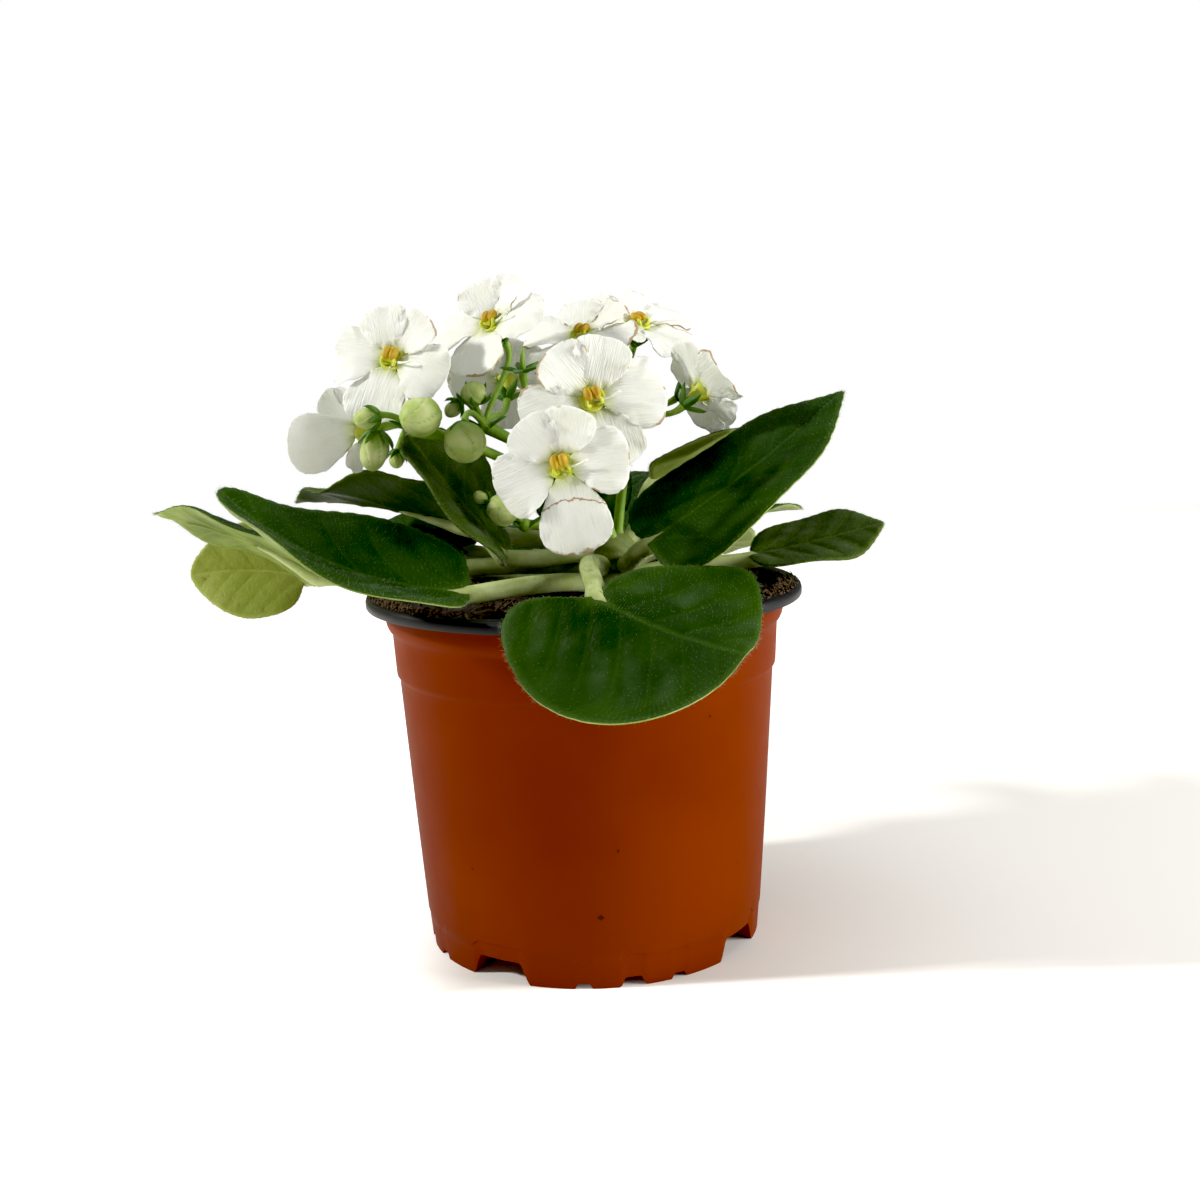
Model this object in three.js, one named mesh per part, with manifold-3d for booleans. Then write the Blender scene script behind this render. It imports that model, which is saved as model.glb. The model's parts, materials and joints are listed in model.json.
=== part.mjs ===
// A potted African violet: a thin plastic nursery pot with a turned-down rim and a notched foot, potting
// mix, a short crown, fifteen hairy spoon-shaped leaves, five flower stalks with buds, and ten white blooms.
// Millimetres, +Z up. The origin is the middle of the pot's base, and the front of the plant faces -Y.
import * as THREE from "three";
import { mergeVertices } from "three/addons/utils/BufferGeometryUtils.js";
import Module from "manifold-3d";

const wasm = await Module();
wasm.setup();

// Driving dimensions

const RIM_RADIUS = 60;
const POT_HEIGHT = 98.5;
const WALL = 0.9;
const POT_SIDES = 32;
const FIT_GAP = 0.3;

const LIP_DROP = 3.3;
const BAND_RADIUS = 54.8;
const BAND_LOW = 90.3;
const COLLAR_TOP = { radius: 53.2, z: 88.5 };
const COLLAR_LOW = { radius: 52.6, z: 76.6 };
const BODY_TOP = { radius: 51.8, z: 75.8 };
const FOOT_LOW = { radius: 46.4, z: 0 };

// The foot repeats four times round: a wide drainage channel, then three small ones between it and the next.
const FOOT_REPEATS = 4;
const FOOT_TURN = 12.2;
const CHANNEL = { offset: 45, height: 5.8, low: 18.5, high: 12, reach: 15 };
const SMALL_CHANNELS = [
  { offset: 0, height: 2.6, low: 6.8, high: 4, reach: 7 },
  { offset: -16, height: 1.4, low: 4.6, high: 3.4, reach: 6 },
  { offset: 16, height: 1.4, low: 4.6, high: 3.4, reach: 6 },
];
const ALL_CHANNELS = [CHANNEL, ...SMALL_CHANNELS];
const DRAIN_HOLE = { radius: 3.2, from_axis: 40 };

const SOIL_TOP = 95;
const CROWN = { x: 8, y: 0, radius: 7.5, top: 112, foot: 84 };

const LEAF_THICKNESS = 1.5;
const LEAF_EDGE = 0.8;
const PETAL_THICKNESS = 0.7;
const PETIOLE_RADIUS = 2.3;

// Materials

function finish(colour, roughness) {
  return new THREE.MeshStandardMaterial({ color: colour, roughness, metalness: 0 });
}

const terracotta_plastic = finish(0xa8481a, 0.4);
const potting_mix = finish(0x2b1d14, 0.95);
const crown_green = finish(0x8fa35a, 0.7);
const leaf_green = finish(0x2f5a1e, 0.6);
const old_leaf_green = finish(0xa9b43c, 0.6);
const stalk_green = finish(0x6f9a35, 0.6);
const petal_white = finish(0xf4f3ec, 0.6);
const anther_yellow = finish(0xd99a12, 0.5);

// Solids

function solidOf(geometry) {
  const bare = geometry.index ? geometry.toNonIndexed() : geometry.clone();
  bare.deleteAttribute("normal");
  bare.deleteAttribute("uv");
  const merged = mergeVertices(bare, 1e-4);
  const vertProperties = new Float32Array(merged.attributes.position.array);
  const triVerts = new Uint32Array(merged.index.array);
  return new wasm.Manifold(new wasm.Mesh({ numProp: 3, vertProperties, triVerts }));
}

function meshOf(name, solid, material) {
  const made = solid.getMesh();
  const geometry = new THREE.BufferGeometry();
  geometry.setAttribute("position", new THREE.BufferAttribute(new Float32Array(made.vertProperties), 3));
  geometry.setIndex(new THREE.BufferAttribute(new Uint32Array(made.triVerts), 1));
  geometry.computeVertexNormals();
  const mesh = new THREE.Mesh(geometry, material);
  mesh.name = name;
  return mesh;
}

function unionOf(solids) {
  return solids.reduce((whole, solid) => whole.add(solid));
}

// The largest body of a solid: a cut can leave loose scraps, which are dropped.
function largestOf(solid) {
  return solid.decompose().reduce((a, b) => (b.volume() > a.volume() ? b : a));
}

// A surface of revolution about Z from [radius, z] pairs that start and end on the axis, bottom first.
function turned(profile, sides) {
  const points = profile.map(([radius, z]) => new THREE.Vector2(radius, z));
  return solidOf(new THREE.LatheGeometry(points, sides).rotateX(Math.PI / 2));
}

const radians = THREE.MathUtils.degToRad;
const vector = (x, y, z) => new THREE.Vector3(x, y, z);
const UP = vector(0, 0, 1);

// The point at an angle round the pot, in degrees from the front, -Y, towards the right, +X.
function around(angle, radius, z) {
  return vector(radius * Math.sin(radians(angle)), -radius * Math.cos(radians(angle)), z);
}

// A round stem of varying radius along a curve, with flat ends and few sides.
function stem(curve, radiusAt, steps, sides) {
  const frames = curve.computeFrenetFrames(steps, false);
  const positions = [];
  const index = [];
  for (let i = 0; i <= steps; i += 1) {
    const centre = curve.getPointAt(i / steps);
    for (let j = 0; j < sides; j += 1) {
      const turn = (2 * Math.PI * j) / sides;
      const ray = frames.normals[i].clone().multiplyScalar(Math.cos(turn));
      ray.addScaledVector(frames.binormals[i], Math.sin(turn));
      positions.push(...centre.clone().addScaledVector(ray, radiusAt(i / steps)).toArray());
    }
  }
  for (let i = 0; i < steps; i += 1) {
    for (let j = 0; j < sides; j += 1) {
      const a = i * sides + j;
      const b = i * sides + ((j + 1) % sides);
      index.push(a, b, a + sides, b, b + sides, a + sides);
    }
  }
  for (let j = 1; j < sides - 1; j += 1) {
    const last = steps * sides;
    index.push(0, j + 1, j, last, last + j, last + j + 1);
  }
  return closedSolid(positions, index);
}

function closedSolid(positions, index) {
  const mesh = new wasm.Mesh({
    numProp: 3,
    vertProperties: new Float32Array(positions),
    triVerts: new Uint32Array(index),
  });
  const solid = new wasm.Manifold(mesh);
  if (solid.volume() > 0) return solid;
  const turnedRound = [];
  for (let i = 0; i < index.length; i += 3) turnedRound.push(index[i], index[i + 2], index[i + 1]);
  return closedSolid(positions, turnedRound);
}

// Blades: a leaf or a petal is one thin curved sheet round a midrib

// The midrib is a circular arc in the plane of forward and up: it starts at pitch and turns down by bend.
// side is to the right of forward, and roll tips the right side down, by a further twist at the tip.
function midrib(blade, x) {
  const share = x / blade.length;
  const inside = Math.max(share, 0);
  const start = radians(blade.pitch);
  const bend = radians(blade.bend) || 1e-6;
  const angle = start - bend * inside;
  const ahead = (blade.length / bend) * (Math.sin(start) - Math.sin(angle)) + Math.min(x, 0) * Math.cos(start);
  const lift = (blade.length / bend) * (Math.cos(angle) - Math.cos(start)) + Math.min(x, 0) * Math.sin(start);
  const flatSide = blade.forward.clone().cross(blade.up);
  const point = blade.joint.clone().addScaledVector(blade.forward, ahead).addScaledVector(blade.up, lift);
  const normal = blade.up.clone().multiplyScalar(Math.cos(angle)).addScaledVector(blade.forward, -Math.sin(angle));
  const roll = radians(blade.roll + blade.twist * inside);
  const side = flatSide.clone().multiplyScalar(Math.cos(roll)).addScaledVector(normal, -Math.sin(roll));
  const above = normal.clone().multiplyScalar(Math.cos(roll)).addScaledVector(flatSide, Math.sin(roll));
  return { point, side, above };
}

// A point of the blade's middle surface x along the midrib and y to its right, and the way it faces there.
// The two halves fold up from the midrib by fold, and curl further by cup over the half width.
function bladePoint(blade, x, y) {
  const { point, side, above } = midrib(blade, x);
  const inside = THREE.MathUtils.clamp(x / blade.length, 0, 1);
  const soft = 0.12 * blade.width;
  const sign = y < 0 ? -1 : 1;
  const reach = Math.abs(y);
  const fold = radians(THREE.MathUtils.lerp(blade.fold[0], blade.fold[1], inside));
  const cup = radians(y < 0 ? blade.cup[0] : blade.cup[1]) / (blade.width / 2);
  const easedFold = fold * (reach / Math.hypot(reach, soft));
  const turn = cup * reach;
  const span = Math.abs(turn) < 1e-4 ? reach : (Math.sin(easedFold + turn) - Math.sin(easedFold)) / cup;
  const out = Math.abs(turn) < 1e-4 ? reach * Math.cos(easedFold) : span;
  const rise = Math.abs(turn) < 1e-4
    ? reach * Math.sin(easedFold)
    : (Math.cos(easedFold) - Math.cos(easedFold + turn)) / cup;
  const lean = easedFold + turn;
  const place = point.clone().addScaledVector(side, sign * out).addScaledVector(above, rise);
  const facing = above.clone().multiplyScalar(Math.cos(lean)).addScaledVector(side, -sign * Math.sin(lean));
  return { place, facing };
}

// The blade's outline at an angle from the tip, 0, round to the joint, 180 degrees, and back.
function outline(blade, angle) {
  const c = Math.cos(angle);
  const s = Math.sin(angle);
  const back = (blade.lobe + (s > 0 ? blade.heel : 0)) * s * s * ((1 - c) / 2) ** blade.heart;
  const tip = blade.point * Math.max(c, 0) ** 6;
  const teeth = 1 + blade.tooth * Math.cos(blade.teeth * angle) * Math.abs(s) ** 0.3;
  const x = blade.length * ((1 + c) / 2 - back + tip * 0.12) / (1 + blade.point * 0.12);
  const y = (blade.width / 2) * s * (1 - blade.belly * c) * (1 - 0.25 * tip);
  return [x, y, teeth];
}

// A closed thin solid: rings of points from a middle to the outline, on both faces, joined at the edge.
function bladeSolid(blade, rings, sectors) {
  const middle = 0.45 * blade.length;
  const faces = [1, -1];
  const positions = [];
  const index = [];
  const starts = [];
  for (const face of faces) {
    const first = positions.length / 3;
    const put = (share, turn) => {
      const [ox, oy, teeth] = outline(blade, turn);
      const reach = share * (share > 0.9 ? teeth : 1);
      const x = middle + (ox - middle) * reach;
      const y = oy * reach;
      const { place, facing } = bladePoint(blade, x, y);
      const wave = blade.wave * Math.sin(blade.waves * turn + blade.phase) * share ** 3;
      const half = THREE.MathUtils.lerp(blade.thickness, blade.edge, share ** 4) / 2;
      positions.push(...place.addScaledVector(facing, wave + face * half).toArray());
    };
    put(0, 0);
    for (const [share, count] of rings) {
      for (let j = 0; j < count; j += 1) put(share, (2 * Math.PI * j) / count);
    }
    let inner = first + 1;
    const add = (a, b, c) => (face > 0 ? index.push(a, b, c) : index.push(a, c, b));
    for (let j = 0; j < rings[0][1]; j += 1) add(first, inner + j, inner + ((j + 1) % rings[0][1]));
    for (let r = 1; r < rings.length; r += 1) {
      const outer = inner + rings[r - 1][1];
      const n = rings[r - 1][1];
      const m = rings[r][1];
      for (let j = 0; j < n; j += 1) {
        const a = inner + j;
        const b = inner + ((j + 1) % n);
        if (m === n) {
          add(a, outer + j, outer + ((j + 1) % m));
          add(a, outer + ((j + 1) % m), b);
        } else {
          const mid = outer + 2 * j + 1;
          add(a, outer + 2 * j, mid);
          add(a, mid, b);
          add(b, mid, outer + ((2 * j + 2) % m));
        }
      }
      inner = outer;
    }
    starts.push(inner);
  }
  for (let j = 0; j < sectors; j += 1) {
    const k = (j + 1) % sectors;
    const [top, bottom] = starts;
    index.push(top + j, bottom + j, top + k, top + k, bottom + j, bottom + k);
  }
  return closedSolid(positions, index);
}

// Leaves

// joint is where the blade meets its petiole, and heading the way the blade points, in degrees from the front
// towards the right. pitch is its rise at the joint, and bend how far it arches over by the tip. roll tips the
// side to the right of the heading down. arrive is the way from the joint back along the petiole.
const leaf_defaults = {
  pitch: 15, bend: 20, roll: 0, twist: 0, length: 50, width: 44, fold: [12, 8], cup: [10, 10],
  lobe: 0.42, heel: 0, heart: 4, belly: 0.16, point: 0.5, tooth: 0.012, teeth: 16, wave: 0.8, waves: 5, phase: 0,
  tier: 1, rise: 5, root_turn: 0, arrive: null, material: leaf_green,
};

const TIER_HEIGHTS = [98.5, 103.2, 107.8];

const leaves = {
  leaf_front: {
    joint: [3, -61.3, 105], heading: 67, pitch: -29, bend: -21, roll: 46.5, twist: -30, length: 39.3, width: 63,
    fold: [-30, -18], cup: [22, 51], lobe: 0.26, heel: 1.24, heart: 2, belly: -0.66, rise: 7, root_turn: -22,
    arrive: [2, 10, 2],
  },
  leaf_front_left: {
    joint: [-28, -42, 104], heading: -85, pitch: 2, bend: -46, roll: -20, twist: 14, length: 67, width: 47,
    fold: [12, 9], lobe: 0.1, heel: 0.45, tier: 0, rise: 4, arrive: [16, 8, 1],
  },
  leaf_left: {
    joint: [-72, -4, 104], heading: -97, pitch: 33, bend: 23, roll: 29, length: 49, width: 34, fold: [0, -4],
    cup: [-12, 6], wave: 1.1, rise: 3, root_turn: 4, arrive: [22, 1, 0],
  },
  leaf_old: {
    joint: [-81, 20, 100], heading: -94, pitch: 13, bend: 22, roll: -58, twist: -12, length: 34, width: 30,
    fold: [6, 6], lobe: 0.3, tooth: 0.006, wave: 0.4, tier: 0, rise: 5, root_turn: -8, arrive: [20, -4, 2],
    material: old_leaf_green,
  },
  leaf_left_back: {
    joint: [-33, 11, 115], heading: -112, pitch: 15, bend: 14, roll: 33, twist: -30, length: 55, width: 40,
    fold: [12, -2], wave: 1.2, tier: 2, rise: 3, root_turn: -14,
  },
  leaf_left_low: {
    joint: [-33, 25, 106], heading: -116, pitch: 7, bend: 14, roll: -18, length: 46, width: 36, tier: 0,
    rise: 3, root_turn: -29,
  },
  leaf_inner_left: {
    joint: [-20, -9.5, 108.3], heading: -80, pitch: 49, bend: -8, roll: -10, twist: -20, length: 42, width: 50,
    fold: [0, 12], lobe: 0.2, belly: -0.06, tier: 2, rise: -1, root_turn: 6, arrive: [8, 1, -1],
  },
  leaf_front_right: {
    joint: [17, -22, 112], heading: 98, pitch: 29, bend: -12, roll: 19, twist: -7, length: 65, width: 50,
    fold: [-6, 2], lobe: 0.35, belly: 0.22, rise: 2, root_turn: 12, arrive: [-4, 6, -2],
  },
  leaf_right: {
    joint: [48, 12, 103], heading: 85, pitch: 9, bend: -8, roll: 6, twist: 20, length: 38, width: 35,
    fold: [2, -4], lobe: 0.3, tier: 0,
  },
  leaf_right_back: {
    joint: [20, 16, 125], heading: 103, pitch: 17, bend: 2, roll: -20, twist: 10, length: 47, width: 38,
    fold: [8, 0], tier: 2, rise: 5, root_turn: -16, arrive: [-4, -4, -6],
  },
  leaf_inner_right: {
    joint: [0, 16, 113], heading: -172, pitch: 60, bend: 20, roll: -4, length: 40, width: 32, fold: [16, 10],
    tier: 2, rise: 3,
  },
  leaf_back_right: {
    joint: [32, 34, 108], heading: 134, pitch: 16, bend: 26, roll: 8, length: 48, width: 38, root_turn: -12,
  },
  leaf_back: {
    joint: [7, 38, 105], heading: 177, pitch: 36, bend: 36, roll: -6, length: 50, width: 41, root_turn: -8,
  },
  leaf_back_left: {
    joint: [-14, 39, 102.3], heading: -160, pitch: 14, bend: 24, roll: 4, length: 50, width: 42,
  },
  leaf_back_low: {
    joint: [30, 50, 103], heading: 152, pitch: 0, bend: 26, roll: 4, length: 38, width: 34, tier: 0, rise: 7,
  },
};

const LEAF_RINGS = [[0.62, 10], [1, 20]];
const LEAF_SECTORS = 20;

function leafSolid(part) {
  const leaf = { ...leaf_defaults, ...part };
  const blade = {
    ...leaf, forward: around(leaf.heading, 1, 0), up: UP, joint: vector(...leaf.joint),
    thickness: LEAF_THICKNESS, edge: LEAF_EDGE,
  };
  const root = vector(CROWN.x, CROWN.y, TIER_HEIGHTS[leaf.tier]);
  const away = blade.joint.clone().sub(root).setZ(0).normalize().applyAxisAngle(UP, radians(leaf.root_turn));
  const start = root.addScaledVector(away, CROWN.radius * 0.5);
  const reach = blade.joint.distanceTo(start);
  const underRib = (x, depth) => {
    const { place, facing } = bladePoint(blade, x, 0);
    return place.addScaledVector(facing, -depth);
  };
  const end = underRib(0, PETIOLE_RADIUS * 0.5);
  const into = underRib(1, PETIOLE_RADIUS * 0.5).sub(end).normalize();
  const back = leaf.arrive ? vector(...leaf.arrive) : into.clone().multiplyScalar(-0.35 * reach);
  const petiole = new THREE.CubicBezierCurve3(
    start,
    start.clone().addScaledVector(away, reach * 0.35).add(vector(0, 0, leaf.rise)),
    end.clone().add(back),
    end,
  );
  const points = petiole.getSpacedPoints(6);
  for (const share of [0.16, 0.4]) points.push(underRib(share * blade.length, 0.5));
  const path = new THREE.CatmullRomCurve3(points, false, "centripetal");
  const jointShare = petiole.getLength() / path.getLength();
  const taper = (t) => Math.max(0.3, 1 - Math.max(0, t - jointShare) / (1 - jointShare));
  const stalk = stem(path, (t) => PETIOLE_RADIUS * taper(t), 7, 5);
  return bladeSolid(blade, LEAF_RINGS, LEAF_SECTORS).add(stalk);
}

// Blooms: five petals on a short tube, with the style, in one solid, and the two joined anthers in another

// at is the throat of the bloom. It faces the given heading, and rises above level by rise. spin turns it
// about its axis, clockwise as it is looked at.
const petal_defaults = {
  lobe: 0, heel: 0, heart: 4, belly: -0.6, point: 0, tooth: 0.02, teeth: 5, wave: 0.5, waves: 3, phase: 0,
  roll: 0, twist: 0, fold: [6, 0], cup: [6, 6],
};
const petal_set = [
  { clock: -29, length: 12.5, width: 11.5, pitch: 24, bend: 18 },
  { clock: 29, length: 12.5, width: 11.5, pitch: 24, bend: 18, phase: 1 },
  { clock: 100, length: 15, width: 14, pitch: 16, bend: 26, phase: 2 },
  { clock: 180, length: 16.5, width: 15.5, pitch: 12, bend: 34, phase: 3 },
  { clock: -100, length: 15, width: 14, pitch: 16, bend: 26, phase: 4 },
];
const PETAL_RINGS = [[0.6, 5], [1, 10]];
const PETAL_SECTORS = 10;

const PETAL_ROOT = 2.2;
const TUBE_LENGTH = 5;
const throat_profile = [[0, -TUBE_LENGTH], [1.5, -TUBE_LENGTH], [1.9, -1.6], [3.4, 0.1], [2.6, 0.9], [0, 0.9]];
const STYLE = { radius: 0.42, length: 7 };
const ANTHER = { across: 1.2, along: 1.8, apart: 1, up: 0.8, ahead: 2.3 };

const blooms = {
  bloom_left: { at: [-48, -11, 161.5], heading: -16, rise: 26, spin: 14 },
  bloom_low_left: {
    at: [-59, 1, 143], heading: -112, rise: -4, spin: 0, close: 22,
    petals: { 100: { length: 21, width: 15, pitch: 8, bend: -8 }, 180: { length: 10, width: 10 } },
  },
  bloom_top: { at: [-22, -2, 170], heading: -38, rise: 46, spin: -10, upright: 12 },
  bloom_behind: { at: [-20, 21, 154], heading: 180, rise: 46, spin: 0 },
  bloom_back_left: { at: [2, 8, 166], heading: -25, rise: 58, spin: 10 },
  bloom_back_right: { at: [18, 23, 169], heading: 30, rise: 62, spin: -20 },
  bloom_front_high: {
    at: [4, -32, 150], heading: 8, rise: 18, spin: -13, size: 1.12, petals: { 180: { length: 14.8 } },
  },
  bloom_front_low: {
    at: [-4, -42.5, 134.5], heading: -8, rise: 8, spin: -14, petals: { 180: { length: 20, pitch: 4, bend: 4 } },
  },
  bloom_right: {
    at: [33, -5, 150.2], heading: 118, rise: 34, spin: 30, petals: { 180: { length: 10, width: 11, bend: 6 } },
  },
  bloom_right_back: { at: [34, 27, 151], heading: 100, rise: 30, spin: 0 },
};

function bloomFrame(bloom) {
  const level = around(bloom.heading, 1, 0);
  const rise = radians(bloom.rise);
  const face = level.clone().multiplyScalar(Math.cos(rise)).addScaledVector(UP, Math.sin(rise));
  const top = UP.clone().multiplyScalar(Math.cos(rise)).addScaledVector(level, -Math.sin(rise));
  top.applyAxisAngle(face, -radians(bloom.spin));
  const across = top.clone().cross(face);
  const centre = vector(...bloom.at);
  return { face, top, across, centre };
}

// Places a solid made round +Z, with its top towards +Y, on the bloom's axis.
function placedOn(frame, solid) {
  const turn = new THREE.Matrix4().makeBasis(frame.across, frame.top, frame.face).setPosition(frame.centre);
  return solid.transform(turn.elements);
}

function anthersSolid(frame) {
  const ball = (side) => {
    const sphere = new THREE.SphereGeometry(1, 5, 3);
    sphere.scale(ANTHER.across, ANTHER.along, ANTHER.across);
    return solidOf(sphere.translate(side * ANTHER.apart, ANTHER.up, ANTHER.ahead));
  };
  const foot = turned([[0, 0.9 + FIT_GAP], [0.8, 0.9 + FIT_GAP], [0.8, 2.2], [0, 2.2]], 3);
  return placedOn(frame, unionOf([ball(-1), ball(1), foot.translate([0, ANTHER.up, 0])]));
}

function corollaSolid(bloom, frame) {
  const petals = petal_set.map((kind) => {
    const own = { ...petal_defaults, ...kind, ...bloom.petals?.[kind.clock] };
    const size = bloom.size ?? 1;
    const clock = radians(own.clock);
    const forward = frame.top.clone().multiplyScalar(Math.cos(clock)).addScaledVector(frame.across, Math.sin(clock));
    const upper = Math.abs(own.clock) < 60;
    const pitch = own.pitch + (bloom.close ?? 0) + (upper ? bloom.upright ?? 0 : 0);
    const joint = frame.centre.clone().addScaledVector(forward, PETAL_ROOT);
    return bladeSolid({
      ...own, pitch, forward, up: frame.face, joint, length: own.length * size, width: own.width * size,
      thickness: PETAL_THICKNESS, edge: PETAL_THICKNESS,
    }, PETAL_RINGS, PETAL_SECTORS);
  });
  const tube = placedOn(frame, turned(throat_profile, 5));
  const stylePath = new THREE.QuadraticBezierCurve3(
    vector(0.5, -0.4, 0.3),
    vector(STYLE.length * 0.5, -1.6, 2.4),
    vector(STYLE.length, -0.6, 3.2),
  );
  const style = placedOn(frame, stem(stylePath, () => STYLE.radius, 2, 4));
  return unionOf([...petals, tube, style]);
}

// Flower stalks: each rises from the crown to two bracts, and fans out there to its blooms and buds

const stalk_defaults = { radius: 1.4, bend_out: 6 };
const PEDICEL_RADIUS = 0.85;
const SEPAL_LENGTH = 6;
const SEPAL_NOTCH = 1.9;
const KNOT_RADIUS = 2.2;
const SMALL_BUD = 3;

const stalks = {
  stalk_left: {
    foot: [4, -1], fork: [-42, -22.5, 143.5], lean: [-14, -8, 136], blooms: ["bloom_left", "bloom_low_left"],
    buds: [
      { at: [-39.5, -27, 147], radius: 4.8, length: 5.6, heading: -10, rise: 40 },
      { at: [-52.5, -22, 138.5], radius: 3.5, length: 5.2, heading: -60, rise: -75 },
      { at: [-53.5, -25, 147], radius: 2.6, length: 3.3, heading: -85, rise: -10 },
      { at: [-49, -6, 135], radius: 2, length: 2.4, heading: -60, rise: -75 },
    ],
  },
  stalk_middle: {
    foot: [8, 0], fork: [-25, -6, 143], lean: [-4, -2, 132], blooms: ["bloom_top", "bloom_behind"],
    buds: [
      { at: [-29, -24, 140], radius: 5.2, length: 5.2, heading: -5, rise: -70 },
      { at: [-27, -12, 152], radius: 3.3, length: 3, heading: -5, rise: 60 },
      { at: [-33, -8, 148], radius: 2, length: 2.6, heading: -60, rise: -40 },
    ],
  },
  stalk_front: {
    foot: [8, -3], fork: [-8, -16, 134], lean: [2, -8, 126], blooms: ["bloom_front_high", "bloom_front_low"],
    buds: [{ at: [-14, -14, 160], radius: 1.3, length: 4, heading: -20, rise: 80 }],
  },
  stalk_back: {
    foot: [10, 3], fork: [14, 8, 144], lean: [13, 6, 130],
    blooms: ["bloom_back_left", "bloom_back_right", "bloom_right", "bloom_right_back"], buds: [],
  },
  stalk_young: {
    foot: [5, -4], fork: [-15, -14, 117], lean: [0, -9, 116], radius: 1.1, blooms: [],
    buds: [
      { at: [-20, -22, 122], radius: 4.1, length: 4.1, heading: -10, rise: 10 },
      { at: [-18, -16, 128], radius: 2.6, length: 2.8, heading: 20, rise: 40 },
      { at: [-26, -18, 125], radius: 1.6, length: 2.2, heading: -50, rise: 30 },
    ],
  },
};

// A small three-sided leaflet from a point, along a way, for a sepal or a bract.
function spike(from, way, length, width) {
  const cone = new THREE.ConeGeometry(width / 2, length, 3).translate(0, length / 2, 0);
  cone.applyQuaternion(new THREE.Quaternion().setFromUnitVectors(vector(0, 1, 0), way.clone().normalize()));
  return solidOf(cone.translate(from.x, from.y, from.z));
}

// A calyx: five pointed sepals joined in a thin star-shaped cup, from a root behind the frame's centre.
function calyx(frame, root, reach, splay) {
  const base = frame.centre.clone().addScaledVector(frame.face, root);
  const positions = [...base.clone().addScaledVector(frame.face, -0.8).toArray()];
  positions.push(...base.clone().addScaledVector(frame.face, 0.3).toArray());
  const index = [];
  for (let k = 0; k < 10; k += 1) {
    const out = frame.top.clone().applyAxisAngle(frame.face, (2 * Math.PI * (k + 1)) / 10);
    const long = k % 2 === 0 ? reach : SEPAL_NOTCH;
    const lift = k % 2 === 0 ? splay : 40;
    const point = base.clone().addScaledVector(frame.face, long * Math.cos(radians(lift)));
    positions.push(...point.addScaledVector(out, long * Math.sin(radians(lift))).toArray());
    const here = 2 + k;
    const next = 2 + ((k + 1) % 10);
    index.push(0, next, here, 1, here, next);
  }
  return closedSolid(positions, index);
}

function pedicel(fork, frame, root) {
  const end = frame.centre.clone().addScaledVector(frame.face, root);
  const reach = end.distanceTo(fork);
  const curve = new THREE.CubicBezierCurve3(
    fork,
    fork.clone().lerp(end, 0.25).addScaledVector(UP, reach * 0.12),
    end.clone().addScaledVector(frame.face, -reach * 0.35),
    end,
  );
  return stem(curve, () => PEDICEL_RADIUS, 3, 4);
}

function stalkSolid(part) {
  const stalk = { ...stalk_defaults, ...part };
  const fork = vector(...stalk.fork);
  const foot = vector(stalk.foot[0], stalk.foot[1], CROWN.top - 1);
  const peduncle = new THREE.CubicBezierCurve3(
    foot, foot.clone().add(vector(0, 0, stalk.bend_out)), vector(...stalk.lean), fork,
  );
  const knot = new THREE.SphereGeometry(KNOT_RADIUS, 7, 4).translate(fork.x, fork.y, fork.z);
  const parts = [stem(peduncle, () => stalk.radius, 7, 5), solidOf(knot)];
  for (const side of [-1, 1]) {
    const way = vector(side * 0.8, -0.2, 0.6);
    parts.push(spike(fork.clone().addScaledVector(UP, -1), way, 7, 2));
  }
  for (const name of stalk.blooms) {
    const frame = bloomFrame(blooms[name]);
    const root = -TUBE_LENGTH - FIT_GAP - 1.5;
    parts.push(pedicel(fork, frame, root), calyx(frame, root, SEPAL_LENGTH, 54));
  }
  for (const bud of stalk.buds) {
    const frame = bloomFrame({ ...bud, spin: 0 });
    const root = -bud.length * 0.95;
    const ball = new THREE.SphereGeometry(1, 6, 4).rotateX(Math.PI / 2);
    const body = solidOf(ball.scale(bud.radius, bud.radius, bud.length));
    parts.push(placedOn(frame, body), pedicel(fork, frame, root));
    if (bud.radius > SMALL_BUD) parts.push(calyx(frame, root, Math.min(bud.radius * 1.8, SEPAL_LENGTH), 66));
  }
  return unionOf(parts);
}

// The pot, its filling and the plant

function channelCutters(channels, extra) {
  const cutters = [];
  for (let k = 0; k < FOOT_REPEATS; k += 1) {
    for (const channel of channels) {
      const low = channel.low / 2 + extra;
      const high = channel.high / 2 + extra;
      const shape = new THREE.Shape([
        new THREE.Vector2(-low - 1, -2), new THREE.Vector2(low + 1, -2), new THREE.Vector2(low, 0),
        new THREE.Vector2(high, channel.height + extra), new THREE.Vector2(-high, channel.height + extra),
        new THREE.Vector2(-low, 0),
      ]);
      const long = channel.reach + extra + 8;
      const prism = new THREE.ExtrudeGeometry(shape, { depth: long, bevelEnabled: false });
      prism.rotateX(Math.PI / 2).translate(0, -(FOOT_LOW.radius - channel.reach - extra), 0);
      prism.rotateZ(radians(FOOT_TURN + k * (360 / FOOT_REPEATS) + channel.offset));
      cutters.push(solidOf(prism));
    }
  }
  return unionOf(cutters);
}

const lip_low = POT_HEIGHT - LIP_DROP;

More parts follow.
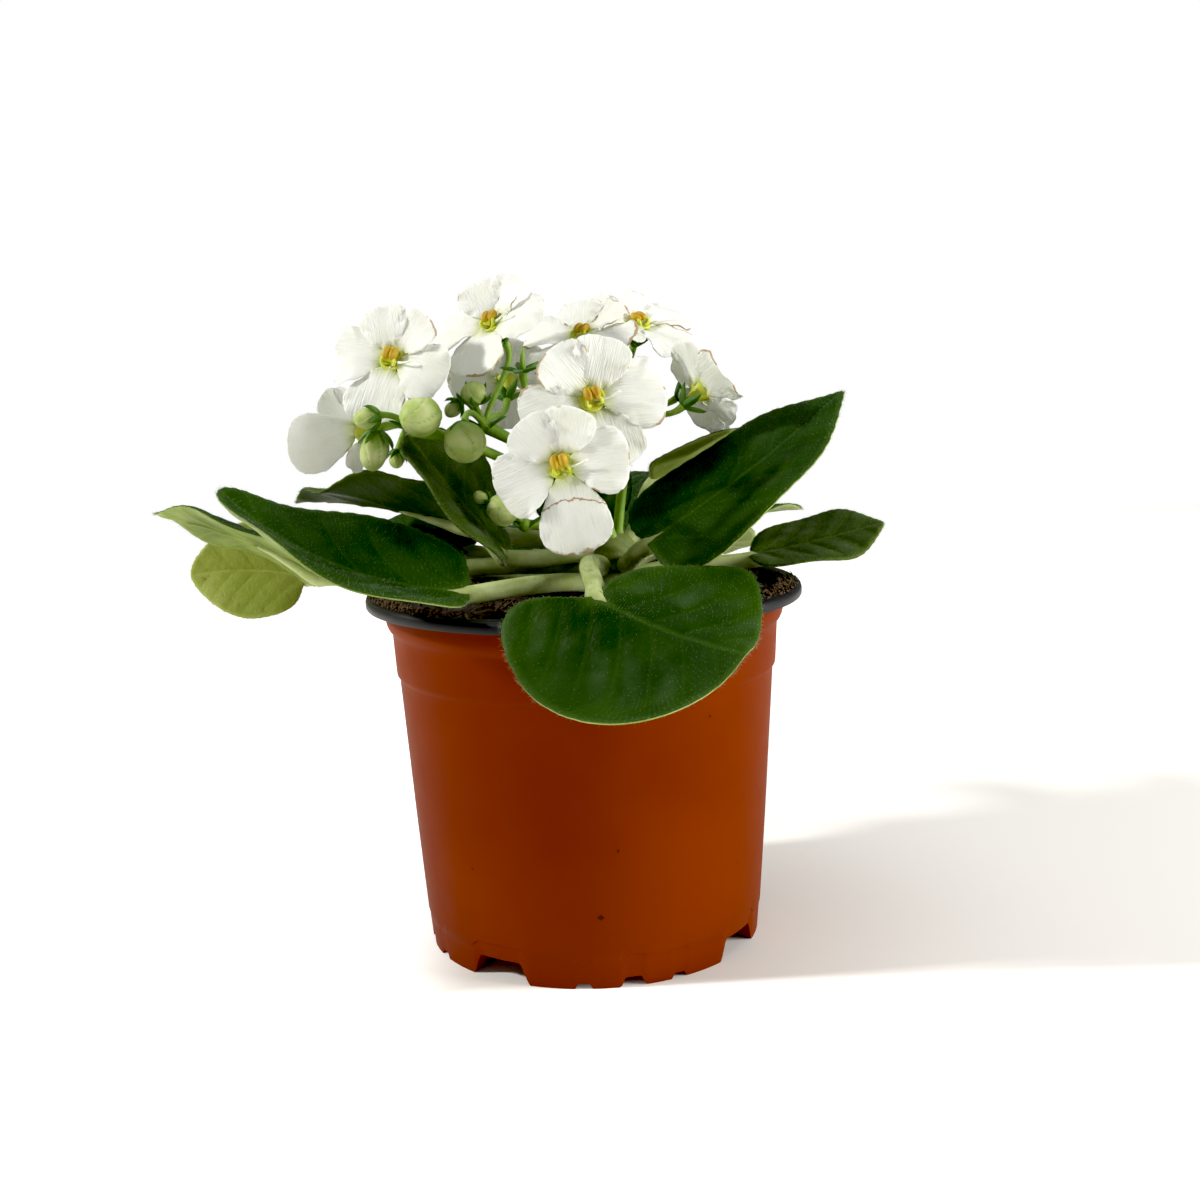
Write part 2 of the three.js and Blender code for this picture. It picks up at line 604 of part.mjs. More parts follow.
function potSolid() {
  const outside = turned([
    [0, 0], [FOOT_LOW.radius, 0], [BODY_TOP.radius, BODY_TOP.z],
    [COLLAR_LOW.radius, COLLAR_LOW.z], [COLLAR_TOP.radius, COLLAR_TOP.z], [BAND_RADIUS - 0.1, BAND_LOW],
    [BAND_RADIUS, POT_HEIGHT - 1.7], [RIM_RADIUS - WALL - 0.4, POT_HEIGHT - 1.7],
    [RIM_RADIUS - WALL, lip_low], [RIM_RADIUS, lip_low], [RIM_RADIUS - 0.1, POT_HEIGHT - 1.2],
    [RIM_RADIUS - 1.6, POT_HEIGHT], [0, POT_HEIGHT],
  ], POT_SIDES);
  const inside = turned([
    [0, WALL], [FOOT_LOW.radius - WALL - 0.1, WALL], [BODY_TOP.radius - WALL, BODY_TOP.z],
    [COLLAR_LOW.radius - WALL, COLLAR_LOW.z], [COLLAR_TOP.radius - WALL, COLLAR_TOP.z],
    [BAND_RADIUS - WALL, BAND_LOW], [BAND_RADIUS - WALL, POT_HEIGHT - 1.6],
    [BAND_RADIUS - WALL + 1.2, POT_HEIGHT + 1], [0, POT_HEIGHT + 1],
  ], POT_SIDES);
  const shell = outside.subtract(channelCutters(ALL_CHANNELS, 0))
    .subtract(inside.subtract(channelCutters(ALL_CHANNELS, WALL)));
  const holes = [];
  for (let k = 0; k < FOOT_REPEATS; k += 1) {
    const hole = new THREE.CylinderGeometry(DRAIN_HOLE.radius, DRAIN_HOLE.radius, 12, 16).rotateX(Math.PI / 2);
    const angle = FOOT_TURN + k * (360 / FOOT_REPEATS) + CHANNEL.offset;
    const place = around(angle, DRAIN_HOLE.from_axis, CHANNEL.height);
    holes.push(solidOf(hole.translate(place.x, place.y, place.z)));
  }
  return shell.subtract(unionOf(holes));
}

function crownSolid(extra) {
  const { radius, top, foot } = CROWN;
  const profile = [
    [0, foot - extra], [radius * 0.55 + extra, foot - extra], [radius + extra, SOIL_TOP - 2],
    [radius + extra, SOIL_TOP + 8], [radius * 0.85 + extra, top - 3], [radius * 0.5 + extra, top + extra],
    [0, top + extra],
  ];
  return turned(profile, 12).translate([CROWN.x, CROWN.y, 0]);
}

function soilSolid() {
  const clear = WALL + FIT_GAP;
  const floor = SMALL_CHANNELS[0].height + clear;
  const filled = turned([
    [0, floor], [FOOT_LOW.radius - clear, floor], [BODY_TOP.radius - clear, BODY_TOP.z],
    [COLLAR_LOW.radius - clear, COLLAR_LOW.z], [COLLAR_TOP.radius - clear, COLLAR_TOP.z],
    [BAND_RADIUS - clear - 0.3, SOIL_TOP - 2], [BAND_RADIUS - clear - 3, SOIL_TOP], [30, SOIL_TOP + 0.6],
    [0, SOIL_TOP + 1],
  ], POT_SIDES);
  return filled.subtract(channelCutters([CHANNEL], clear)).subtract(crownSolid(FIT_GAP));
}

const violet = new THREE.Group();
violet.add(meshOf("pot", potSolid(), terracotta_plastic));
violet.add(meshOf("soil", soilSolid(), potting_mix));
violet.add(meshOf("crown", crownSolid(0), crown_green));

const crown_clear = crownSolid(FIT_GAP);
for (const [name, leaf] of Object.entries(leaves)) {
  violet.add(meshOf(name, largestOf(leafSolid(leaf).subtract(crown_clear)), leaf.material ?? leaf_green));
}
for (const [name, bloom] of Object.entries(blooms)) {
  const frame = bloomFrame(bloom);
  violet.add(meshOf(name, corollaSolid(bloom, frame), petal_white));
  violet.add(meshOf(name.replace("bloom", "anthers"), anthersSolid(frame), anther_yellow));
}
for (const [name, stalk] of Object.entries(stalks)) {
  violet.add(meshOf(name, largestOf(stalkSolid(stalk).subtract(crown_clear)), stalk_green));
}

export default violet;
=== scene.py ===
# %% [markdown]
# A potted African violet
#
# This lesson dresses a imported model of a small house plant: a thin two-layer nursery pot, dark potting mix,
# a short crown, fifteen hairy spoon-shaped leaves, five flower stalks with buds, and ten white blooms with
# orange-yellow anthers. Each piece made here but the crumbs on the rim stands for one node of the imported
# model and keeps its form. Nothing is sculpted by hand: a shape is a formula on a grid of points.

# %% Load the imported model
import json
import math

import bmesh
import bpy
import numpy as np
from mathutils import Matrix, Vector

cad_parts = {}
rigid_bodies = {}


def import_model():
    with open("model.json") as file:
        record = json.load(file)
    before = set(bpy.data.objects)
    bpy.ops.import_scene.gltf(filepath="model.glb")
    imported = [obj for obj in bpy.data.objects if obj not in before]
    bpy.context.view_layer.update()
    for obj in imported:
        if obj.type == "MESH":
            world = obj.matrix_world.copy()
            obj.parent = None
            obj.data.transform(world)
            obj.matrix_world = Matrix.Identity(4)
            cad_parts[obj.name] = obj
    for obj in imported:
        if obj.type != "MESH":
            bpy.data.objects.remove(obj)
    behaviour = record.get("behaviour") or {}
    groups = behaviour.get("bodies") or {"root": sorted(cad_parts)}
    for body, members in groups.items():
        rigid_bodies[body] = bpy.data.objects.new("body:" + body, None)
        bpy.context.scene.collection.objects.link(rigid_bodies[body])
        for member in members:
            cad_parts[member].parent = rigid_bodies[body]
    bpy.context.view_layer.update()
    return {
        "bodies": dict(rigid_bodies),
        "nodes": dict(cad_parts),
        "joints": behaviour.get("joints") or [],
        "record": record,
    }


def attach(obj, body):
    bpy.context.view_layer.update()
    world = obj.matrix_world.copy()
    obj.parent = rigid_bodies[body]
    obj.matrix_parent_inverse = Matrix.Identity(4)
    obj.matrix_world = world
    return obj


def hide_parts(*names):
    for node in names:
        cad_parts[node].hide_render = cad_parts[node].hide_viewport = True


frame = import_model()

MM = 0.001
UP = np.array([0.0, 0.0, 1.0])
print("nodes in the frame:", len(frame["nodes"]))

# %% [markdown]
# The camera
#
# The photograph was taken from a little above the rim, at arm's length. A camera is best described as a
# photographer would: what it looks at, how far away it stands, how steeply it looks down, how much it is
# turned about its own axis, and its lens. From these its place and its turn follow. The lights of the last
# cells are aimed in the same way.

# %% Camera
AIM = np.array([4.4, 0.0, 93.7])
CAMERA_DISTANCE = 408.0
CAMERA_PITCH = math.radians(9.43)
CAMERA_ROLL = math.radians(-1.93)
FOCAL_PIXELS = 1467.0
FRAME_PIXELS = 1200.0
SENSOR = 36.0
FAR_END = 50.0


def add_object(name, data):
    """A new object with this data, put in the scene."""
    made = bpy.data.objects.new(name, data)
    bpy.context.scene.collection.objects.link(made)
    return made


def aimed(place, aim, roll=0.0):
    """The matrix of a camera or a lamp at a place in millimetres: its -Z looks at aim, its +Y stays upwards,
    and then it turns about its own axis by the roll."""
    turn = (Vector(aim) - Vector(place)).to_track_quat("-Z", "Y").to_matrix() @ Matrix.Rotation(roll, 3, "Z")
    return Matrix.Translation(Vector(place) * MM) @ turn.to_4x4()


def make_camera():
    """The camera stands in front of AIM and above it by the pitch, at CAMERA_DISTANCE."""
    data = bpy.data.cameras.new("camera")
    data.sensor_width = SENSOR
    data.lens = FOCAL_PIXELS * SENSOR / FRAME_PIXELS
    data.clip_end = FAR_END
    camera = add_object("camera", data)
    back = np.array([0, -math.cos(CAMERA_PITCH), math.sin(CAMERA_PITCH)])
    camera.matrix_world = aimed(AIM + back * CAMERA_DISTANCE, AIM, CAMERA_ROLL)
    return camera


bpy.context.scene.camera = make_camera()
print("lens", round(bpy.context.scene.camera.data.lens, 1), "mm")

# %% [markdown]
# Meshes from grids
#
# Leaves, petals, stems and the pot all come from one idea: a table of points, rows by columns, whose
# neighbours are joined by four-sided faces. numpy works out the whole table at once. A surface is a small
# record of points, faces, two surface coordinates for the materials, and an edge value that goes from 0 in
# the middle of a blade to 1 at its margin.

# %% Surfaces
SEAM = 1e-8


def surface(points, faces, material=0, uv=None, edge=None):
    """A record of points (n, 3) in millimetres, faces (m, 3 or 4), and what the materials read."""
    count = len(points)
    return {
        "points": points,
        "faces": faces,
        "material": material,
        "uv": np.zeros((count, 2)) if uv is None else uv,
        "edge": np.zeros(count) if edge is None else edge,
    }


def grid_surface(points, wrap=True, material=0, uv=None, edge=None):
    """Four-sided faces between neighbours of a (rows, columns, 3) table; wrap joins its last column to its
    first. A closed table whose volume comes out negative is turned inside out, so that faces point out."""
    rows, columns = points.shape[:2]
    row = np.arange(rows - 1)[:, None]
    column = np.arange(columns if wrap else columns - 1)[None, :]
    a = row * columns + column
    b = row * columns + (column + 1) % columns
    faces = np.stack([a, b, b + columns, a + columns], -1).reshape(-1, 4)
    flat = points.reshape(-1, 3)
    centred = flat - flat.mean(0)
    p, q, r, s = (centred[faces[:, k]] for k in range(4))
    volume = (np.cross(p, q) * r).sum() + (np.cross(p, r) * s).sum()
    if volume < 0:
        faces = faces[:, ::-1]
    uv = None if uv is None else uv.reshape(-1, 2)
    return surface(flat, faces, material, uv, None if edge is None else edge.reshape(-1))


def joined_mesh(name, surfaces):
    """One mesh in metres that holds the points and faces of several surfaces."""
    starts = np.cumsum([0] + [len(s["points"]) for s in surfaces])
    points = np.concatenate([s["points"] for s in surfaces]) * MM
    faces = [f for s, start in zip(surfaces, starts) for f in (s["faces"] + start).tolist()]
    mesh = bpy.data.meshes.new(name)
    mesh.from_pydata(points.tolist(), [], faces)
    return mesh


def close_seams(mesh):
    """Merges the points that lie on one another at seams and poles."""
    close = bmesh.new()
    close.from_mesh(mesh)
    bmesh.ops.remove_doubles(close, verts=close.verts, dist=SEAM)
    close.to_mesh(mesh)
    close.free()


def add_piece(name, surfaces, materials, replaced=(), wear_and_painted_light=0.0, sharp=None):
    """Joins surfaces into one piece with what its materials read, and rides it on the only body. One more
    value is
    stored for the whole piece: the wear of a bloom, and for a leaf painted light, which makes its colour
    lighter;
    sharp is the angle in degrees past which an edge stays crisp."""
    mesh = joined_mesh(name, surfaces)
    indices = np.concatenate([np.full(len(s["faces"]), s["material"]) for s in surfaces])
    mesh.polygons.foreach_set("material_index", indices.astype(np.int32))
    mesh.polygons.foreach_set("use_smooth", np.ones(len(indices), bool))
    corners = np.zeros(len(mesh.loops), np.int32)
    mesh.loops.foreach_get("vertex_index", corners)
    uv = np.concatenate([s["uv"] for s in surfaces])[corners]
    mesh.uv_layers.new(name="blade").data.foreach_set("uv", uv.astype(np.float32).ravel())
    edge = np.concatenate([s["edge"] for s in surfaces])
    # For a leaf the value stored here is painted light: it lightens the whole leaf's colour.
    for label, values in (("edge", edge), ("wear_and_painted_light", np.full(len(edge), wear_and_painted_light))):
        mesh.attributes.new(label, "FLOAT", "POINT").data.foreach_set("value", values.astype(np.float32))
    close_seams(mesh)
    if sharp is not None:
        mesh.set_sharp_from_angle(angle=math.radians(sharp))
    for material in materials:
        mesh.materials.append(material)
    piece = add_object(name, mesh)
    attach(piece, "root")
    if replaced:
        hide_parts(*replaced)
    return piece


# %% [markdown]
# Stems
#
# A stem is a round section carried along a curve. The curves are the same Bezier curves that carry the
# solids, so every stem runs where its solid does. Its ends close to a point, which leaves no hole.

# %% Curves and stems
FULL_TURN = 2 * np.pi


def around(count):
    """Evenly spaced angles round a full turn, from 0."""
    return np.linspace(0, FULL_TURN, count, endpoint=False)


def clamp(value):
    """The value, held between 0 and 1."""
    return np.clip(value, 0, 1)


def bell(value, width):
    """1 at 0, falling to both sides: exp(-(value / width)^2)."""
    return np.exp(-((value / width) ** 2))


def unit(vectors):
    """Vectors scaled to length 1 along their last axis."""
    vectors = np.asarray(vectors, float)
    return vectors / np.maximum(np.linalg.norm(vectors, axis=-1, keepdims=True), 1e-9)


def bezier(controls, count):
    """Points of a cubic Bezier curve: each control point weighted by its Bernstein polynomial."""
    t = np.linspace(0, 1, count)[:, None]
    a, b, c, d = (np.asarray(p, float) for p in controls)
    return a * (1 - t) ** 3 + 3 * b * t * (1 - t) ** 2 + 3 * c * t**2 * (1 - t) + d * t**3


def turn_about(vector, axis, degrees):
    """Rodrigues' formula: v cos a + (k x v) sin a + k (k . v)(1 - cos a)."""
    a = math.radians(degrees)
    turned = vector * math.cos(a) + np.cross(axis, vector) * math.sin(a)
    return turned + axis * (axis @ vector) * (1 - math.cos(a))


def tube(path, radii, sides=12, material=0):
    """A ring of points round each point of a path, at its radius, in the plane across the path. Both ends
    are closed by a ring of radius 0."""
    path = np.concatenate([path[:1], path, path[-1:]])
    radii = np.concatenate([[0.0], radii, [0.0]])
    along = unit(np.gradient(path[1:-1], axis=0))
    along = np.concatenate([along[:1], along, along[-1:]])
    axes = np.eye(3)
    guide = axes[np.abs(along @ axes).max(0).argmin()]
    across = unit(np.cross(along, guide))
    other = np.cross(along, across)
    turn = around(sides)
    ring = np.cos(turn)[:, None] * across[:, None] + np.sin(turn)[:, None] * other[:, None]
    points = path[:, None] + radii[:, None, None] * ring
    length = np.linspace(0, 1, len(path))
    uv = np.stack(np.broadcast_arrays(length[:, None], turn / FULL_TURN), -1)
    return grid_surface(points, True, material, uv)


# %% [markdown]
# Blades
#
# A leaf and a petal are the same thing to a maker: a thin sheet round a midrib. The midrib is an arc that
# starts at a pitch and bends over by its tip. The two halves fold up from it and curl, and the whole sheet
# may roll about it. A Bezier patch would need dozens of control points to say the same. Here a dozen angles
# and lengths do, and they are the ones that the solids have.

# %% The blade formula
MIDDLE = 0.45
RING_SPREAD = 0.85
EDGE_ROUNDING = 0.25


def heading_vector(heading):
    """The level way that a heading gives, in degrees from the front, -Y, towards the right, +X."""
    return np.array([math.sin(math.radians(heading)), -math.cos(math.radians(heading)), 0.0])


def blade_points(blade, x, y):
    """Points of the middle surface x along the midrib and y to its right, and the way it faces there. The
    midrib is a circular arc; each half turns up by fold, then by cup in proportion to its reach."""
    length, width = blade["length"], blade["width"]
    forward, up = blade["forward"], blade["up"]
    share = x / length
    inside = np.maximum(share, 0)
    start = math.radians(blade["pitch"])
    bend = math.radians(blade["bend"]) or 1e-6
    angle = start - bend * inside
    ahead = (length / bend) * (math.sin(start) - np.sin(angle)) + np.minimum(x, 0) * math.cos(start)
    lift = (length / bend) * (np.cos(angle) - math.cos(start)) + np.minimum(x, 0) * math.sin(start)
    rib = blade["joint"] + ahead[..., None] * forward + lift[..., None] * up
    normal = np.cos(angle)[..., None] * up - np.sin(angle)[..., None] * forward
    level = np.cross(forward, up)
    roll = np.radians(blade["roll"] + blade["twist"] * inside)[..., None]
    side = level * np.cos(roll) - normal * np.sin(roll)
    above = normal * np.cos(roll) + level * np.sin(roll)
    sign = np.where(y < 0, -1, 1)
    reach = np.abs(y)
    fold = np.radians(blade["fold"][0] + (blade["fold"][1] - blade["fold"][0]) * clamp(share))
    cup = np.radians(np.where(y < 0, blade["cup"][0], blade["cup"][1])) / (width / 2) + 1e-7
    eased = fold * reach / np.hypot(reach, 0.12 * width)
    lean = eased + cup * reach
    out = sign * (np.sin(lean) - np.sin(eased)) / cup
    rise = (np.cos(eased) - np.cos(lean)) / cup
    place = rib + out[..., None] * side + rise[..., None] * above
    facing = above * np.cos(lean)[..., None] - (sign * np.sin(lean))[..., None] * side
    return place, facing


def blade_outline(blade, turn):
    """The margin at an angle from the tip, 0, round to the joint, half a turn: an oval whose base has two
    lobes, the right one longer by the heel, and whose tip is drawn out, with small rounded teeth."""
    c, s = np.cos(turn), np.sin(turn)
    back = (blade["lobe"] + np.where(s > 0, blade["heel"], 0)) * s * s * ((1 - c) / 2) ** blade["heart"]
    tip = blade["point"] * np.maximum(c, 0) ** 6
    x = blade["length"] * ((1 + c) / 2 - back + tip * 0.12) / (1 + blade["point"] * 0.12)
    y = blade["width"] / 2 * s * (1 - blade["belly"] * c) * (1 - 0.25 * tip)
    rounded = np.abs(np.cos(blade["teeth"] * turn / 2 + blade["phase"])) - 0.55
    teeth = 1 + blade["tooth"] * rounded * np.abs(s) ** 0.3
    return x, y, teeth


def blade_surface(blade, relief, rows, columns=144, materials=(0, 1)):
    """A closed thin sheet: rings of points from a middle out to the margin over the upper face, a rounded
    edge, and rings back in under the lower face. relief gives how far each face stands out."""
    middle = MIDDLE * blade["length"]
    upper = np.linspace(0, 1, rows[0]) ** RING_SPREAD
    lower = np.linspace(1, 0, rows[1]) ** RING_SPREAD
    share = np.concatenate([upper, [1.0], lower])[:, None]
    face = np.concatenate([np.ones(rows[0]), [0.0], -np.ones(rows[1])])[:, None]
    turn = around(columns)[None, :]
    ox, oy, teeth = blade_outline(blade, turn)
    grown = share * (1 + (teeth - 1) * clamp((share - 0.7) / 0.3))
    outset = np.where(face == 0, 1 + EDGE_ROUNDING / blade["width"], 1.0)
    x = middle + (ox - middle) * grown * outset
    y = oy * grown * outset
    place, facing = blade_points(blade, x, y)
    half = (blade["thickness"] + (blade["margin"] - blade["thickness"]) * share**4) / 2
    wave = blade["wave"] * np.sin(blade["waves"] * turn + blade["phase"]) * share**3
    along, across = x / blade["length"], y / (blade["width"] / 2)
    at = {**blade, "along": along, "across": across, "share": share, "face": face, "turn": turn}
    height = wave + face * half + relief(at)
    points = place + height[..., None] * facing
    uv = np.stack([along, 0.5 + across / 2], -1)
    made = grid_surface(points, True, 0, uv, np.broadcast_to(share, x.shape))
    is_upper = np.arange(len(made["faces"])) < rows[0] * columns
    made["material"] = np.where(is_upper, *materials)
    return made, points, facing, share * np.ones_like(turn)


# %% [markdown]
# Hairs
#
# Every green part of this plant is covered in short clear hairs, which catch the light at the margins.
# Blender has hair curves, but a model that leaves Blender keeps only meshes, so a hair here is a spike with
# three sides. Three thousand on a leaf are enough to read as down, and cost only four triangles each.

# %% Hairs
HAIR_RADIUS = 0.027
HAIR_DEPTH = 0.1
HAIR_LEAN = 0.35
FRINGE_LEAN = 0.5
LENGTH_RANGE = (0.5, 1.2)
STEM_LENGTH_RANGE = (0.5, 1.1)
STEM_SPAN = (0.02, 0.98)


def hair_surface(roots, ways, lengths, material):
    """A three-sided spike from each root along its way: three points round the root and one at the tip."""
    ways = unit(ways)
    guide = np.where(np.abs(ways[:, 2:]) < 0.9, [[0.0, 0.0, 1.0]], [[1.0, 0.0, 0.0]])
    across = unit(np.cross(ways, guide))
    other = np.cross(ways, across)
    turn = around(3)
    ring = np.cos(turn)[:, None] * across[:, None] + np.sin(turn)[:, None] * other[:, None]
    base = roots[:, None] - HAIR_DEPTH * ways[:, None] + HAIR_RADIUS * ring
    tips = roots + ways * lengths[:, None]
    points = np.concatenate([base, tips[:, None]], 1).reshape(-1, 3)
    corners = np.array([[0, 1, 3], [1, 2, 3], [2, 0, 3], [2, 1, 0]])
    faces = (np.arange(len(roots))[:, None, None] * 4 + corners).reshape(-1, 3)
    return surface(points, faces, material)


def sheet_hairs(points, facing, share, rows, count, margin_count, length, rng):
    """Hairs over the upper face, more towards its rim so that they stand evenly, and ones twice as long out
    of the margin."""
    weight = share[:rows].ravel()
    picked = rng.choice(weight.size, count, p=weight / weight.sum())
    roots = points[:rows].reshape(-1, 3)[picked]
    ways = facing[:rows].reshape(-1, 3)[picked] + rng.normal(0, HAIR_LEAN, (count, 3))
    columns = points.shape[1]
    turn = rng.uniform(0, columns, margin_count)
    column, part = turn.astype(int), (turn % 1)[:, None]
    rim = points[rows, column] * (1 - part) + points[rows, (column + 1) % columns] * part
    outward = unit(points[rows, column] - points[rows - 3, column])
    fringe = outward + rng.normal(0, FRINGE_LEAN, (margin_count, 3))
    lengths = length * rng.uniform(*LENGTH_RANGE, count + margin_count)
    lengths[:count] *= 0.5
    return hair_surface(np.concatenate([roots, rim]), np.concatenate([ways, fringe]), lengths, 3)


def stem_hairs(path, radius, count, length, rng, material=3):
    """Hairs straight out of a stem, at random places along and round its path."""
    place = rng.uniform(*STEM_SPAN, count) * (len(path) - 1)
    low = np.floor(place).astype(int)
    part = (place - low)[:, None]
    centre = path[low] * (1 - part) + path[low + 1] * part
    along = unit(path[low + 1] - path[low])
    out = unit(np.cross(along, rng.normal(0, 1, (count, 3))))
    lengths = length * rng.uniform(*STEM_LENGTH_RANGE, count)
    return hair_surface(centre + out * radius * 0.95, out, lengths, material)


# %% [markdown]
# Materials
#
# A finish is a small network of nodes. Its values are added and multiplied here as numbers are, and each sum
# becomes a Math node, so a formula of the shapes can be repeated word for word in a finish.

# %% Node values
class Value:
    """An output of a node. A sum with it adds a Math node to its tree."""

    def __init__(self, socket):
        self.socket = socket

    def __add__(self, other):
        return maths("ADD", self, other)

    def __sub__(self, other):
        return maths("SUBTRACT", self, other)

    def __mul__(self, other):
        return maths("MULTIPLY", self, other)

    def __pow__(self, other):
        return maths("POWER", self, other)

    def __abs__(self):
        return maths("ABSOLUTE", self)


def outputs(made):
    """The outputs of a node, by number and by name."""
    return {key: Value(socket) for number, socket in enumerate(made.outputs) for key in (number, socket.name)}


def node(kind, inputs=None, tree=None, **settings):
    """Adds a node to the tree of its inputs, or to the given one, and gives its outputs. Each input, by name
    or number, is joined to a value of the tree or set to a plain one."""
    inputs = inputs or {}
    joins = {key: value.socket for key, value in inputs.items() if isinstance(value, Value)}
    tree = tree or next(iter(joins.values())).id_data
    made = tree.nodes.new("ShaderNode" + kind)
    for name, value in settings.items():
        setattr(made, name, value)
    for key, value in inputs.items():
        if key in joins:
            tree.links.new(joins[key], made.inputs[key])
        else:
            made.inputs[key].default_value = value
    return outputs(made)


def maths(operation, *values):
    """The result of one Math node."""
    return node("Math", dict(enumerate(values)), operation=operation)[0]


def ramp(value, low, high):
    """0 below low and 1 above high, smooth between; low may be the larger, which turns it round."""
    inputs = {"Value": value, "From Min": low, "From Max": high}
    return node("MapRange", inputs, interpolation_type="SMOOTHSTEP")["Result"]


def noise(place, scale, detail):
    """Clouds of values about 0.5."""
    return node("TexNoise", {"Vector": place, "Scale": scale, "Detail": detail})["Fac"]


def painted(colour, *layers):
    """A colour with others over it: each layer is a mask and the colour that it shows where it is 1."""
    for mask, over in layers:
        pair = [(*c, 1.0) if isinstance(c, tuple) else c for c in (colour, over)]
        colour = node("Mix", {"Factor": mask, 6: pair[0], 7: pair[1]}, data_type="RGBA")[2]
    return colour


def attribute(tree, name):
    """A value stored on the mesh's points."""
    return node("Attribute", tree=tree, attribute_name=name)["Fac"]


def object_place(tree):
    """The place on the object, in metres."""
    return node("TexCoord", tree=tree)["Object"]


def blade_place(tree):
    """The surface coordinates: along from the foot to the tip, and across from 0 to 1."""
    return node("UVMap", tree=tree, uv_map="blade")["UV"]


def split(vector):
    """The X, Y and Z of a vector."""
    return node("SeparateXYZ", {0: vector})


# %% [markdown]
# Groups and shaders
#
# Effects that several finishes share are groups: one draws the veins of a leaf from its surface coordinates,
# one gives soft blotches, and one turns a petal's margin brown here and there. A group gives only masks and
# heights. What they do to light is set where the shader is.

# %% Groups and shaders
def new_group(name, inputs, draw):
    """A node group whose inputs have these names and defaults; draw gives its outputs by name."""
    tree = bpy.data.node_groups.new(name, "ShaderNodeTree")
    for label, default in inputs.items():
        kind = "NodeSocketVector" if isinstance(default, tuple) else "NodeSocketFloat"
        tree.interface.new_socket(label, in_out="INPUT", socket_type=kind).default_value = default
    drawn = draw(tree, outputs(tree.nodes.new("NodeGroupInput")))
    for label in drawn:
        tree.interface.new_socket(label, in_out="OUTPUT", socket_type="NodeSocketFloat")
    result = tree.nodes.new("NodeGroupOutput").inputs
    for label, value in drawn.items():
        tree.links.new(value.socket, result[label])
    return tree


def new_material(name, colour, roughness, **sockets):
    """A material whose shader has plain values on its own sockets."""
    material = bpy.data.materials.new(name)
    material.use_nodes = True
    material.diffuse_color = (*colour, 1.0)
    shader = material.node_tree.nodes["Principled BSDF"]
    for key, value in dict(Base_Color=(*colour, 1.0), Roughness=roughness, **sockets).items():
        shader.inputs[key.replace("_", " ")].default_value = value
    return material


def joined(material, bump=None, **sockets):
    """Joins values that change over the surface to the material's shader. A bump is a height, its depth in
    metres and its strength."""
    tree = material.node_tree
    if bump:
        sockets["Normal"] = node("Bump", dict(zip(("Height", "Distance", "Strength"), bump)))["Normal"]
    for key, value in sockets.items():
        tree.links.new(value.socket, tree.nodes["Principled BSDF"].inputs[key.replace("_", " ")])
    return material


# %% [markdown]
# The veins of a leaf
#
# Side veins leave the midrib at a slant and curve forward to the margin. Their phase is along minus a part of
# the reach across, times how many there are: where the phase is a whole number there is a vein. The mesh is
# pressed in along the same lines, so paint and relief fall in the same places.

# %% Vein lines
VEIN_SLANT = 0.42
VEIN_CURVE = 0.14
VEIN_COUNT = 5.0


def vein_masks(along, across):
    """Masks of the midrib, the side veins and the pillows between them. Veins are bells over the distance to
    the nearest line, where the phase is (along - slant * reach + curve * reach^2) * count."""
    reach = np.abs(across)
    phase = (along - VEIN_SLANT * reach + VEIN_CURVE * reach**2) * VEIN_COUNT
    distance = np.abs(phase - np.round(phase))
    side = bell(distance, 0.11) * clamp(1.15 - reach)
    middle = bell(reach, 0.04)
    pillow = np.sin(np.pi * distance) * clamp(reach / 0.2) * clamp((1 - reach) / 0.25)
    return middle, side, pillow


def draw_veins(tree, given):
    """Masks of the midrib, the veins, the net of small ones, the fields between and the base at the stem,
    with the same phase as the mesh's relief."""
    place = split(given["Blade"])
    reach = abs(place["Y"] - 0.5) * 2.0
    phase = (place["X"] - reach * VEIN_SLANT + reach**2.0 * VEIN_CURVE) * VEIN_COUNT
    distance = maths("PINGPONG", phase, 0.5)
    cells = {"Vector": given["Blade"], "Scale": 26.0}
    net = node("TexVoronoi", cells, tree, feature="DISTANCE_TO_EDGE")["Distance"]
    return dict(
        Midrib=ramp(reach, 0.04, 0.005),
        Veins=ramp(distance, 0.10, 0.0) * ramp(reach, 1.1, 0.5),
        Net=ramp(net, 0.12, 0.0),
        Between=ramp(distance, 0.1, 0.4) * ramp(reach, 1.0, 0.6) * ramp(reach, 0.1, 0.4),
        Base=ramp(abs(place["X"]) + reach * 0.8, 0.2, 0.0),
    )


def draw_blotches(tree, given):
    """Soft blotches of two sizes: a mask between low and high of one noise, and a fine grain."""
    place = object_place(tree)
    return dict(
        Mask=ramp(noise(place, given["Scale"], 4.0), given["Low"], given["High"]),
        Grain=noise(place, given["Scale"] * 9.0, 3.0),
    )


def draw_bruises(tree, given):
    """Where a petal browns: near its margin, where a noise is high, and more of it with more wear."""
    place = object_place(tree)
    edge, wear = given["Edge"], given["Wear"]
    clouds = (noise(place, 260.0, 5.0) + noise(place, 75.0, 1.0)) * 0.6
    level = clouds + ramp(edge, 0.75, 1.0) * 0.22 + wear * 0.10
    rim = ramp(level, 0.91, 0.98) * ramp(edge, 0.93, 0.985)
    spot = maths("MAXIMUM", rim, ramp(level, 1.0, 1.05))
    return dict(Bruise=spot * ramp(wear, 0.0, 0.3))


VEINS = new_group("leaf veins", {"Blade": (0.0, 0.0, 0.0)}, draw_veins)
BLOTCHES = new_group("blotches", {"Scale": 120.0, "Low": 0.45, "High": 0.65}, draw_blotches)
BRUISES = new_group("bruises", {"Edge": 0.0, "Wear": 0.0}, draw_bruises)


def blotched(tree, scale, low, high):
    """The blotches' mask and grain."""
    return node("Group", {"Scale": scale, "Low": low, "High": high}, tree, node_tree=BLOTCHES)


print("groups:", [g.name for g in bpy.data.node_groups])
